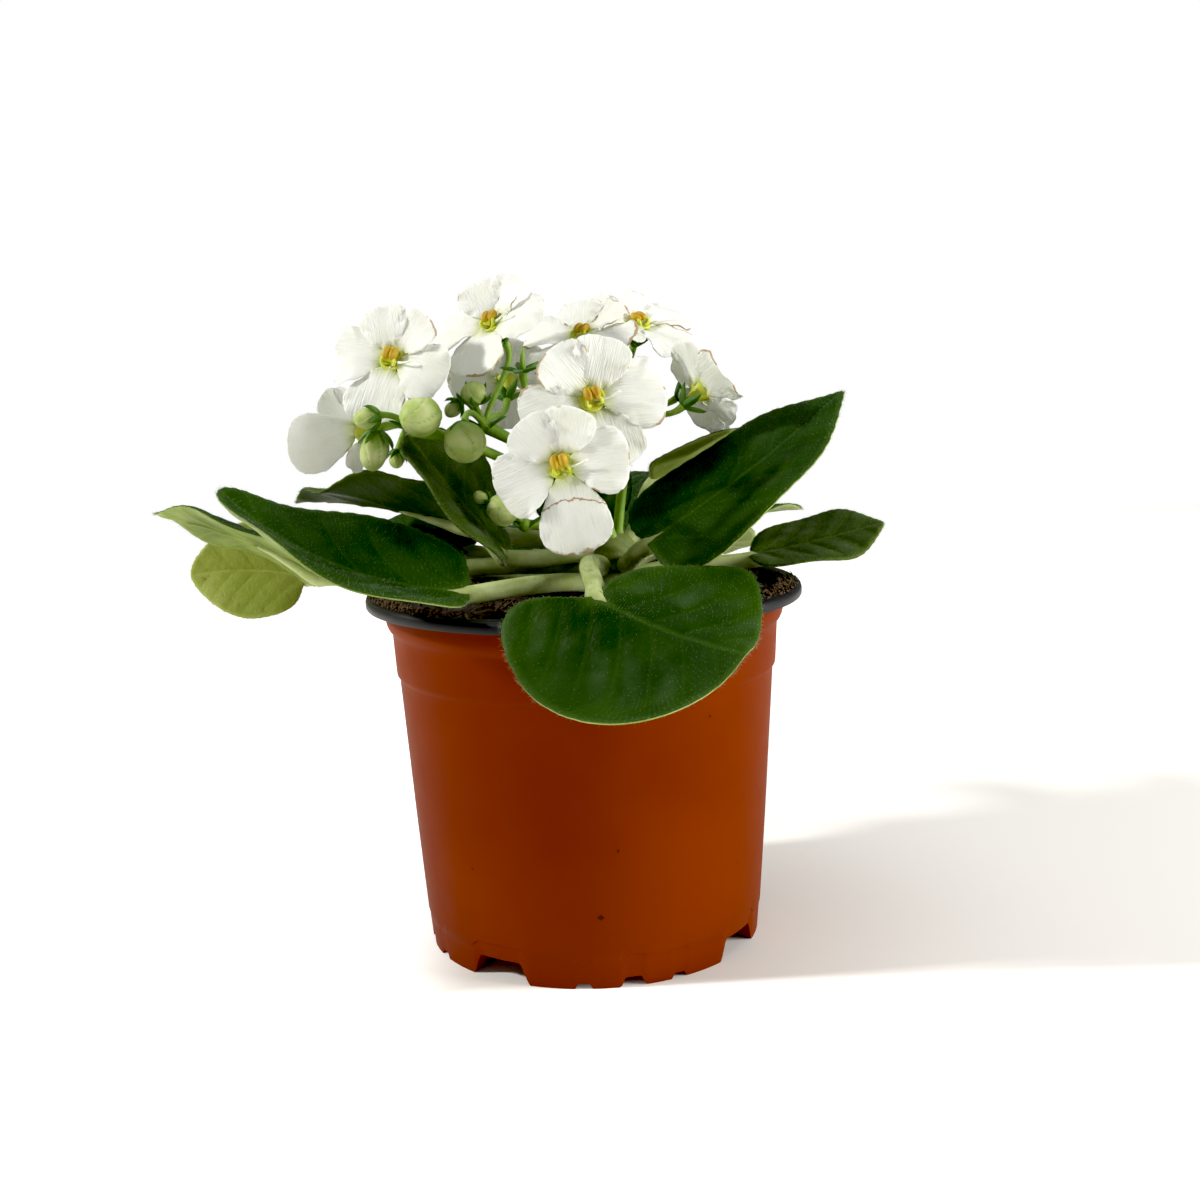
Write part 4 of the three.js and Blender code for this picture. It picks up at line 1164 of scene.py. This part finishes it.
# %% Stalk data
STALK_FOOT = 111.0
STALKS = dict(
    stalk_left=dict(
        foot=(4, -1), fork=(-42, -22.5, 143.5), lean=(-14, -8, 136), blooms=("bloom_left", "bloom_low_left"),
        buds=(
            dict(at=(-39.5, -27, 147), radius=4.8, length=5.6, heading=-40, rise=-5),
            dict(at=(-52.5, -22, 138.5), radius=3.5, length=5.2, heading=-60, rise=-75),
            dict(at=(-53.5, -25, 147), radius=2.6, length=3.3, heading=-85, rise=-10),
            dict(at=(-49, -6, 135), radius=2, length=2.4, heading=-60, rise=-75),
        ),
    ),
    stalk_middle=dict(
        foot=(8, 0), fork=(-25, -6, 143), lean=(-4, -2, 132), blooms=("bloom_top", "bloom_behind"),
        buds=(
            dict(at=(-29, -24, 140), radius=5.2, length=5.2, heading=-5, rise=-70),
            dict(at=(-27, -12, 152), radius=3.3, length=3, heading=-5, rise=60),
            dict(at=(-33, -8, 148), radius=2, length=2.6, heading=-60, rise=-40),
        ),
    ),
    stalk_front=dict(
        foot=(8, -3), fork=(-8, -16, 134), lean=(2, -8, 126), blooms=("bloom_front_high", "bloom_front_low"),
        buds=(dict(at=(-14, -14, 160), radius=1.3, length=4, heading=-20, rise=80, spent=True),),
    ),
    stalk_back=dict(
        foot=(10, 3), fork=(14, 8, 144), lean=(13, 6, 130),
        blooms=("bloom_back_left", "bloom_back_right", "bloom_right", "bloom_right_back"), buds=(),
    ),
    stalk_young=dict(
        foot=(5, -4), fork=(-15, -14, 117), lean=(0, -9, 116), radius=1.1, blooms=(),
        buds=(
            dict(at=(-20, -22, 122), radius=4.1, length=4.1, heading=-10, rise=10),
            dict(at=(-18, -16, 128), radius=2.6, length=2.8, heading=20, rise=40),
            dict(at=(-26, -18, 125), radius=1.6, length=2.2, heading=-50, rise=30),
        ),
    ),
)
PEDICEL_RADIUS = 0.85
SEPAL = dict(
    lobe=0, heel=0, heart=4, belly=0.15, point=1.4, tooth=0, teeth=1, wave=0.1, waves=2, phase=0.0, roll=0,
    twist=0, fold=(14, 8), cup=(10, 10), thickness=0.7, margin=0.35,
)
SEPAL_HAIRS = 26
SEPAL_RINGS = (7, 5)
KNOT_RADIUS = 1.9
DRY_TIP = ((0, 0, -4), (0, 0, -1), (0.3, 0, 1), (0.8, 0, 3.4))
print("buds:", sum(len(stalk["buds"]) for stalk in STALKS.values()))

# %% [markdown]
# Sepals and buds
#
# A sepal is one more blade, small and pointed. Round a bloom the sepals spread, round a bud they bend up over
# its sides, and where a bloom has dropped they stay behind as a small star.

# %% Sepals and buds
def keel_relief(at):
    """A faint keel along the midrib of the lower face."""
    keel = np.where(at["face"] < 0, -0.2 * bell(at["across"], 0.3), 0.0)
    return keel * clamp((1 - at["share"]) / 0.2)


def sepals(frame, root, reach, splay, bend, width, rng):
    """Five sepals round the axis at 36 degrees and every 72 after, with hairs on each."""
    _, top, face, centre = frame
    parts = []
    for k in range(5):
        out = turn_about(top, face, 36 + 72 * k)
        blade = {
            **SEPAL, "forward": out, "up": face, "joint": centre + face * root + out * 0.5,
            "pitch": 90 - splay + rng.uniform(-6, 6), "bend": bend, "length": reach, "width": width,
        }
        made, points, facing, share = blade_surface(blade, keel_relief, SEPAL_RINGS, 20, (1, 1))
        hairs = sheet_hairs(
            points, -facing, share, SEPAL_RINGS[0], SEPAL_HAIRS, SEPAL_HAIRS, length=0.9, rng=rng,
        )
        parts += [made, hairs]
    return parts


def pedicel_path(fork, frame, root):
    """A Bezier curve that leaves the fork upwards and arrives along the bloom's axis."""
    _, _, face, centre = frame
    end = centre + face * root
    reach = np.linalg.norm(end - fork)
    first = fork + (end - fork) * 0.25 + UP * reach * 0.12
    return bezier([fork, first, end - face * reach * 0.35, end], 24)


def bud_surface(frame, radius, length):
    """A rounded bud: r = R cos(v)^0.9 (0.96 + 0.15 ridge), where the ridge is a saw with five teeth round it
    that turns as it rises, so that each petal laps over the next. The edge value marks the laps, where
    painted shade darkens the bud."""
    v = np.linspace(-np.pi / 2, np.pi / 2, 28)[:, None]
    u = around(60)[None, :]
    rise = np.sin(v) * np.ones_like(u)
    lap = (5 * u / FULL_TURN + 0.5 * np.sin(v) + 0.12 * np.sin(2 * u)) % 1
    ridge = lap - bell(1 - lap, 0.08)
    r = radius * np.cos(v) ** 0.9 * (0.96 + 0.15 * ridge * np.cos(v) ** 0.5)
    # Painted shade: the mask of the laps, darker in the bud's finish.
    crease_shade = bell(lap, 0.06) * clamp(1.3 + rise)
    height = length * (rise + 0.05 * clamp(rise) ** 6)
    points = np.stack([r * np.cos(u), r * np.sin(u), height], -1)
    uv = np.stack([0.5 + rise / 2, u / FULL_TURN * np.ones_like(v)], -1)
    return grid_surface(placed(frame, points), True, 2, uv, crease_shade)


def stem_with_hairs(path, radius, hairs, rng):
    """A round stem a little thicker at both ends, and its hairs."""
    radii = radius * np.interp(np.linspace(0, 1, len(path)), [0, 0.1, 0.85, 1], [1.3, 1.0, 0.95, 1.35])
    return [tube(path, radii, 12, 0), stem_hairs(path, radius, hairs, 0.8, rng)]


def make_bud(frame, bud, fork, rng):
    """A bud with its stem and sepals; a spent one keeps only the sepals and a short dry tip."""
    root = -bud["length"] * 0.95
    parts = stem_with_hairs(pedicel_path(fork, frame, root), PEDICEL_RADIUS, hairs=110, rng=rng)
    if bud.get("spent"):
        parts.append(tube(placed(frame, bezier(DRY_TIP, 10)), np.linspace(1.1, 0.3, 10), sides=8))
        return parts + sepals(frame, root + 0.8, reach=5.4, splay=62, bend=20, width=2.0, rng=rng)
    parts.append(bud_surface(frame, bud["radius"], bud["length"]))
    reach = min(bud["radius"] * 1.8, 6.0)
    return parts + sepals(frame, root - 0.2, reach, splay=76, bend=-62, width=reach * 0.36, rng=rng)


# %% [markdown]
# Making a stalk
#
# A stalk is one piece with all that grows on it. Its knot hides the place where the thin stems meet.

# %% Stalk pieces
def make_stalk(name, stalk, number):
    """The stalk, its knot and two bracts, and a stem with sepals for each bloom and bud."""
    rng = np.random.default_rng(300 + number)
    fork = np.array(stalk["fork"], float)
    foot = np.array([*stalk["foot"], STALK_FOOT], float)
    path = bezier([foot, foot + UP * 6, stalk["lean"], fork], 40)
    parts = stem_with_hairs(path, stalk.get("radius", 1.4), hairs=420, rng=rng)
    rise = np.linspace(-1, 1, 9)
    knot = fork + KNOT_RADIUS * rise[:, None] * UP
    parts.append(tube(knot, KNOT_RADIUS * np.sqrt(1 - (0.97 * rise) ** 2), sides=14))
    for side in (-1, 1):
        way = unit([side * 0.8, -0.2, 0.6])
        bract = {
            **SEPAL, "forward": way, "up": unit(np.cross([0.0, side, 0.0], way)), "joint": fork - UP,
            "pitch": 0, "bend": -12, "length": 7, "width": 2.4,
        }
        parts.append(blade_surface(bract, keel_relief, rows=(8, 6), columns=24, materials=(1, 1))[0])
    for bloom in stalk["blooms"]:
        frame = bloom_frame(BLOOMS[bloom])
        root = -TUBE_LENGTH - 1.8
        parts += stem_with_hairs(pedicel_path(fork, frame, root), PEDICEL_RADIUS, hairs=150, rng=rng)
        parts += sepals(frame, root + 0.3, reach=6.0, splay=54, bend=-14, width=2.2, rng=rng)
    for bud in stalk["buds"]:
        parts += make_bud(bloom_frame(bud), bud, fork, rng)
    materials = [STALK_GREEN, SEPAL_GREEN, BUD_PETAL, HAIR]
    return add_piece(name + "_stems", parts, materials, [name], wear_and_painted_light=0.1)


stalk_pieces = [make_stalk(name, stalk, number) for number, (name, stalk) in enumerate(STALKS.items())]
print("stalk pieces:", [len(p.data.polygons) for p in stalk_pieces])

# %% [markdown]
# The pot
#
# A nursery pot is blown or pressed from a thin sheet, so its inside follows its outside. Its form is one
# profile turned about the axis, with one exception: the foot, where channels lead water out from under it. A
# height function of radius and angle gives the underside, and the rows above it blend back to the profile.

# %% Pot form
WALL = 0.9
POT_HEIGHT = 98.5
FOOT_RADIUS = 46.4
FOOT_TURN = 12.2
FOOT_BLEND = 12.0
POT_SIDES = 384
FLOOR_RINGS = (40, 34)
CHANNELS = (
    dict(offset=45, height=5.8, low=18.5, high=12, reach=15),
    dict(offset=0, height=2.6, low=6.8, high=4, reach=7),
    dict(offset=-16, height=1.4, low=4.6, high=3.4, reach=6),
    dict(offset=16, height=1.4, low=4.6, high=3.4, reach=6),
)
DRAIN_RADIUS = 3.2
DRAIN_PROFILE = ((0, -2), (DRAIN_RADIUS, -2), (DRAIN_RADIUS, 14), (0, 14))
DRAIN_FROM_AXIS = 40.0
OUTER_WALL = (
    (FOOT_RADIUS, 0), (47.1, 8.0), (47.35, 8.3), (49.2, 34), (51.8, 75.2), (52.0, 75.9), (52.5, 76.5),
    (52.6, 77.2), (53.15, 87.6), (53.5, 88.5), (54.1, 89.2), (54.55, 90.2), (54.8, 91.2), (54.8, 96.2),
)
LIP = (
    (54.9, 96.7), (55.4, 96.85), (58.4, 96.8), (58.9, 96.5), (59.1, 95.6), (59.3, 95.25), (59.8, 95.25),
    (60.0, 95.6), (60.0, 96.9), (59.75, 97.7), (59.1, 98.3), (58.3, POT_HEIGHT), (56.3, POT_HEIGHT),
    (55.4, 98.2), (54.4, 97.4), (53.9, 96.4),
)
INNER_WALL = (
    (53.9, 91.0), (53.5, 90.0), (52.5, 88.9), (52.3, 88.0), (51.7, 76.9), (50.9, 75.8), (45.6, 1.6),
    (FOOT_RADIUS - 1, WALL),
)

print("points of the pot's profile:", len(OUTER_WALL) + len(LIP) + len(INNER_WALL))

# %% [markdown]
# Making the pot
#
# The channels are a height over the floor's plane, not cuts, so the wall keeps its thickness round them. Only
# the round drain holes are cut, by a Boolean that is applied at once.

# %% Pot pieces
def smooth_step(value):
    """0 below 0, 1 above 1, and 3t^2 - 2t^3 between."""
    t = clamp(value)
    return t * t * (3 - 2 * t)


def foot_height(radius, angle, extra=0.0):
    """The roof of the channels over a place on the floor: for each channel, its height times a step across
    its slanted sides and a step along it to its end; the highest of them counts."""
    height = np.zeros(np.broadcast(radius, angle).shape)
    for quarter in range(4):
        for channel in CHANNELS:
            middle = math.radians(FOOT_TURN + 90 * quarter + channel["offset"])
            along = radius * np.cos(angle - middle)
            aside = np.abs(radius * np.sin(angle - middle))
            wide, narrow = channel["low"] / 2 + extra, channel["high"] / 2 + extra
            sides = smooth_step((wide - aside) / (wide - narrow))
            end = smooth_step((along - (FOOT_RADIUS - channel["reach"] - extra)) / 1.6 + 0.5)
            height = np.maximum(height, channel["height"] * sides * end)
    return height


def spaced(profile, step):
    """More points on a profile: each stretch is cut into equal parts no longer than step."""
    profile = np.array(profile, float)
    out = [profile[:1]]
    for a, b in zip(profile[:-1], profile[1:]):
        parts = max(1, math.ceil(np.linalg.norm(b - a) / step))
        out.append(a + (b - a) * (np.arange(1, parts + 1) / parts)[:, None])
    return np.concatenate(out)


def make_pot():
    """One closed lathe surface: out over the floor's underside, up the outside, over the lip, down the inside
    and in across the floor. Points low on the walls are lifted by the channels' roof, less and less up to
    FOOT_BLEND."""
    outer, lip, inner = spaced(OUTER_WALL, 2.2), spaced(LIP, 0.8), spaced(INNER_WALL, 5.0)
    below, above = FLOOR_RINGS
    floor_out = np.linspace([0, 0], [FOOT_RADIUS, 0], below)[:-1]
    floor_in = np.linspace([FOOT_RADIUS - 1, WALL], [0, WALL], above)[1:]
    rows = np.concatenate([floor_out, outer, lip, inner, floor_in])
    inside = (np.arange(len(rows)) >= len(floor_out) + len(outer) + len(lip))[:, None]
    angle = around(POT_SIDES)[None, :]
    radius, z = rows[:, :1], rows[:, 1:]
    roof = np.where(inside, foot_height(radius + WALL, angle, WALL), foot_height(radius, angle))
    low = np.where(inside, WALL, 0.0)
    height = z + np.maximum(0, roof * (1 - clamp((z - low) / FOOT_BLEND)))
    points = np.stack(np.broadcast_arrays(radius * np.sin(angle), -radius * np.cos(angle), height), -1)
    made = grid_surface(points)
    first_black = (len(floor_out) + len(outer) - 1) * POT_SIDES
    made["material"] = (np.arange(len(made["faces"])) >= first_black).astype(int)
    return add_piece("pot_shell", [made], [TERRACOTTA, BLACK_PLASTIC], ["pot"], sharp=38)


def cut_drains(pot):
    """Four round holes through the channels' roofs, cut by an applied Boolean with upright cylinders."""
    cutters = []
    for quarter in range(4):
        angle = math.radians(FOOT_TURN + 90 * quarter + CHANNELS[0]["offset"])
        made = lathe(DRAIN_PROFILE, sides=40)
        shift = [DRAIN_FROM_AXIS * math.sin(angle), -DRAIN_FROM_AXIS * math.cos(angle), 0]
        cutters.append({**made, "points": made["points"] + shift})
    cutter = add_object("drain_cutters", joined_mesh("drain_cutters", cutters))
    close_seams(cutter.data)
    cut = pot.modifiers.new("drains", "BOOLEAN")
    cut.operation = "DIFFERENCE"
    cut.solver = "EXACT"
    cut.object = cutter
    bpy.context.view_layer.update()
    ready = pot.evaluated_get(bpy.context.evaluated_depsgraph_get())
    cut_mesh = bpy.data.meshes.new_from_object(ready)
    pot.modifiers.clear()
    pot.data = cut_mesh
    bpy.data.objects.remove(cutter)


pot_shell = make_pot()
cut_drains(pot_shell)
print("pot faces:", len(pot_shell.data.polygons))

# %% [markdown]
# Potting mix
#
# The mix fills the pot to a few millimetres below its rim. Its top is a height function with lumps of three
# sizes, and loose crumbs and fibres lie on it. A few crumbs have come to rest on the rim.

# %% Soil form
SOIL_TOP = 95.0
SOIL_RADIUS = 52.9
SOIL_SIDES = 220
SOIL_FLOOR = 1.2
SOIL_SIDE = (
    (0, 3.9), (45.1, 3.9), (50.5, 75.6), (51.3, 76.8), (51.9, 88.6), (52.5, 90.6), (SOIL_RADIUS, 92.6),
)
HEAPS = ((80, 26, 3.4), (-66, 22, 2.6))
LUMPS = ((0.9, 6, 1), (0.5, 2.6, 2), (0.25, 1.2, 3))
LATTICE = 64
BRIM_LIMIT = 95.5
SOIL_RINGS = 64
CRUMBS = 1500
CRUMB_REACH = 52.2
CRUMB_SIZES = (0.25, 1.0)
FIBRES = 90
FIBRE_REACH = 50
FIBRE_BEND = 3.2
FIBRE_LIMIT = 51
FIBRE_RADII = (0.12, 0.24)
FIBRE_LIFT = 0.35
RIM_SPAN = (53.6, 59.2)
RIM_MIDDLE = 57
RIM_DRIFTS = ((-60, 15, 260), (66, 14, 260))
RIM_STRAYS = 90
RIM_CRUMB_SIZES = (0.15, 0.5)


def value_noise(x, y, size, seed):
    """Random heights on a lattice of squares of this size, blended by smooth steps between the corners."""
    lattice = np.random.default_rng(seed).uniform(-1, 1, (LATTICE, LATTICE))
    low_x, low_y = np.floor(x / size).astype(int), np.floor(y / size).astype(int)
    right, up = smooth_step(x / size - low_x), smooth_step(y / size - low_y)

    def corner(dx, dy):
        return lattice[(low_x + dx) % LATTICE, (low_y + dy) % LATTICE]

    near = corner(0, 0) * (1 - right) + corner(1, 0) * right
    return near * (1 - up) + (corner(0, 1) * (1 - right) + corner(1, 1) * right) * up


def soil_height(x, y):
    """A low dome of 1 mm, two heaps against the wall, each a bell over its heading, and lumps of three
    sizes."""
    reach = np.hypot(x, y)
    heading = np.degrees(np.arctan2(x, -y))
    height = SOIL_TOP + 1 - (reach / 52) ** 2 * 2.2
    for middle, spread, rise in HEAPS:
        height = height + rise * bell(heading - middle, spread) * smooth_step((reach - 36) / 14)
    for rise, size, seed in LUMPS:
        height = height + rise * value_noise(x, y, size, seed)
    return height


# %% [markdown]
# What lies on the mix
#
# Peat breaks into small angular bits, and a few fibres are left in it. A crumb needs only eight faces, since
# it is never seen large, and a fibre is a thin tube that follows the lumps.

# %% Soil pieces
def crumb_surface(places, sizes, rng):
    """An octahedron with uneven corners at each place: eight faces each."""
    corners = np.array([[1, 0, 0], [-1, 0, 0], [0, 1, 0], [0, -1, 0], [0, 0, 1], [0, 0, -1]], float)
    faces = np.array([[0, 2, 4], [2, 1, 4], [1, 3, 4], [3, 0, 4], [2, 0, 5], [1, 2, 5], [3, 1, 5], [0, 3, 5]])
    shapes = corners * rng.uniform(0.5, 1.2, (len(places), 6, 1)) + rng.normal(0, 0.15, (len(places), 6, 3))
    points = places[:, None] + shapes * sizes[:, None, None]
    index = (np.arange(len(places))[:, None, None] * 6 + faces).reshape(-1, 3)
    return surface(points.reshape(-1, 3), index)


def fibre_surfaces(count, material, rng):
    """Thin bent fibres that lie on the mix."""
    made = []
    for _ in range(count):
        a, r = rng.uniform(0, FULL_TURN), FIBRE_REACH * math.sqrt(rng.uniform(0.08, 0.95))
        start = np.array([r * math.cos(a), r * math.sin(a), 0])
        way = rng.normal(0, FIBRE_BEND, (3, 3)) * [1, 1, 0]
        path = bezier([start, start + way[0], start + way[0] + way[1], start + way.sum(0)], 9)
        path *= np.minimum(1, FIBRE_LIMIT / np.maximum(np.hypot(path[:, 0], path[:, 1]), 1e-6))[:, None]
        path[:, 2] = soil_height(path[:, 0], path[:, 1]) + FIBRE_LIFT
        made.append(tube(path, np.full(9, rng.uniform(*FIBRE_RADII)), sides=5, material=material))
    return made


def make_soil():
    """The filling as one closed lathe surface with a lumpy top, its crumbs and its fibres."""
    rng = np.random.default_rng(7)
    angle = around(SOIL_SIDES)[None, :]
    side = spaced(SOIL_SIDE, 9.0)
    wall = slice(0, len(side))
    top = slice(len(side), None)
    brim = len(side) - 1
    rows = np.concatenate([side, [(r, 0) for r in np.linspace(SOIL_RADIUS, 0, SOIL_RINGS)[1:]]])
    radius = rows[:, :1]
    x, y = radius * np.sin(angle), -radius * np.cos(angle)
    z = rows[:, 1:] * np.ones_like(angle)
    z[top] = soil_height(x[top], y[top])
    roof = foot_height(radius[wall] + SOIL_FLOOR, angle, SOIL_FLOOR) + SOIL_FLOOR
    z[wall] = np.maximum(z[wall], np.where(side[:, 1:] < 8, roof, 0))
    z[brim] = np.minimum(soil_height(x[brim], y[brim]), BRIM_LIMIT)
    body = grid_surface(np.stack([x, y, z], -1))
    a = rng.uniform(0, FULL_TURN, CRUMBS)
    r = CRUMB_REACH * np.sqrt(rng.uniform(0.02, 1, CRUMBS))
    x, y = r * np.cos(a), r * np.sin(a)
    places = np.stack([x, y, soil_height(x, y) + 0.1], -1)
    crumbs = crumb_surface(places, rng.uniform(*CRUMB_SIZES, CRUMBS), rng)
    parts = [body, crumbs, *fibre_surfaces(FIBRES, 1, rng)]
    return add_piece("potting_mix", parts, [POTTING_MIX, FIBRE_BROWN], ["soil"])


def rim_crumbs():
    """Crumbs on the rim, in two drifts at its left and right front, larger towards the mix. A drift is its
    heading, its spread and its count."""
    rng = np.random.default_rng(21)
    drifts = [rng.normal(*drift) for drift in RIM_DRIFTS]
    a = np.radians(np.concatenate([*drifts, rng.uniform(-180, 180, RIM_STRAYS)]))
    r = rng.uniform(*RIM_SPAN, len(a))
    sizes = rng.uniform(*RIM_CRUMB_SIZES, len(a)) * np.where(r < RIM_MIDDLE, 1.6, 1.0)
    places = np.stack([r * np.sin(a), -r * np.cos(a), POT_HEIGHT + 0.3 * sizes], -1)
    return add_piece("rim_crumbs", [crumb_surface(places, sizes, rng)], [CRUMB_BROWN])


soil_pieces = [make_soil(), rim_crumbs()]
print("potting mix and crumbs:", [len(p.data.polygons) for p in soil_pieces], "faces")

# %% [markdown]
# The crown
#
# All leaf stems and flower stalks meet in the crown, a short stem with the scars of leaves that have gone.

# %% Crown
CROWN_PROFILE = (
    (0, 84), (4.1, 84), (7.3, 93), (CROWN_RADIUS, 99), (7.3, 104), (6.4, 109), (5.2, 111.2), (3.4, 112),
    (0, 112),
)

CROWN_AXIS = ((CROWN_X, 0, 96), (CROWN_X, 0, 111))
SCAR_DEPTH = 0.35


def make_crown():
    """The profile turned about the crown's axis, with scars: r grows by depth * sin(3 a + z) sin(1.1 z)."""
    profile = spaced(CROWN_PROFILE, 0.9)
    a = around(48)[None, :]
    radius, z = profile[:, :1], profile[:, 1:]
    scars = SCAR_DEPTH * np.sin(3 * a + z) * np.sin(1.1 * z) * clamp(radius / 5)
    r = np.maximum(radius + scars, 0) * (radius > 0)
    points = np.stack([CROWN_X + r * np.sin(a), -r * np.cos(a), z * np.ones_like(a)], -1)
    axis = np.linspace(*CROWN_AXIS, 12)
    rng = np.random.default_rng(9)
    hairs = stem_hairs(axis, radius=6.6, count=500, length=1.6, rng=rng, material=1)
    return add_piece("crown_stem", [grid_surface(points), hairs], [CROWN_GREEN, HAIR], ["crown"])


print("crown faces:", len(make_crown().data.polygons))

# %% [markdown]
# Setting and light
#
# A product photograph on white. A small key light high on the left puts the shadow to the right, a broad one
# overhead and one at the right front soften it, and a white surround fills what they leave. The floor glows
# a little at the back, on both sides and in front, where the photograph's background is plain white.

# %% Stage and lights
FLOOR_ROWS = (-1500, 1000, 11)
FLOOR_COLUMNS = (-1500, 1500, 13)
FAR_GLOW = 0.5
GLOWS = (("Y", 0.12, 0.5), ("X", -0.03, -0.056), ("Y", -0.041, -0.052), ("X", 0.35, 0.7))
SURROUND_LIGHT = 0.22
BLACK_LEVEL = 0.015
LIGHTS = dict(
    key=dict(place=(-980, -150, 710), aim=(0, 0, 90), size=100, power=12.0, colour=(1.0, 0.99, 0.97)),
    overhead=dict(place=(0, 150, 1250), aim=(0, 0, 0), size=1100, power=6.0, colour=(1.0, 1.0, 1.0)),
    side=dict(place=(1000, -250, 380), aim=(0, 0, 60), size=500, power=13.0, colour=(1.0, 0.99, 0.97)),
)


def make_stage():
    """A floor that reaches far behind the object, with a glow of its own that grows between two places on
    each of four sides. The places are in metres."""
    rows = np.linspace(*FLOOR_ROWS)[:, None]
    columns = np.linspace(*FLOOR_COLUMNS)[None, :]
    points = np.stack(np.broadcast_arrays(columns, rows, 0.0), -1)
    floor = add_object("floor", joined_mesh("floor", [grid_surface(points, False)]))
    material = new_material(
        "floor", (0.92, 0.90, 0.86), 0.8, Specular_IOR_Level=0.1, Emission_Strength=FAR_GLOW,
    )
    place = split(object_place(material.node_tree))
    bright = 0.0
    for axis, low, high in GLOWS:
        bright = maths("MAXIMUM", bright, ramp(place[axis], low, high))
    glow = painted((0.0, 0.0, 0.0), (bright, (1.0, 1.0, 1.0)))
    floor.data.materials.append(joined(material, Emission_Color=glow))


def area_light(name, place, aim, size, power, colour):
    """A square light at a place in millimetres, turned to face a point."""
    data = bpy.data.lights.new(name, "AREA")
    data.size = size * MM
    data.energy = power
    data.color = colour
    add_object(name, data).matrix_world = aimed(place, aim)


def make_world():
    """The camera sees the surround at full white, and the light it gives is set apart from that."""
    world = bpy.data.worlds.new("surround")
    world.use_nodes = True
    tree = world.node_tree
    sockets = tree.nodes["Background"].inputs
    seen = node("LightPath", tree=tree)["Is Camera Ray"]
    strength = seen * (1.0 - SURROUND_LIGHT) + SURROUND_LIGHT
    tree.links.new(strength.socket, sockets["Strength"])
    sockets["Color"].default_value = (1, 1, 1, 1)
    return world


make_stage()
for name, light in LIGHTS.items():
    area_light(name, **light)
bpy.context.scene.world = make_world()
look = bpy.context.scene.view_settings
look.view_transform = "Standard"
look.use_curve_mapping = True
look.curve_mapping.black_level = (BLACK_LEVEL,) * 3
print("lights:", list(LIGHTS))
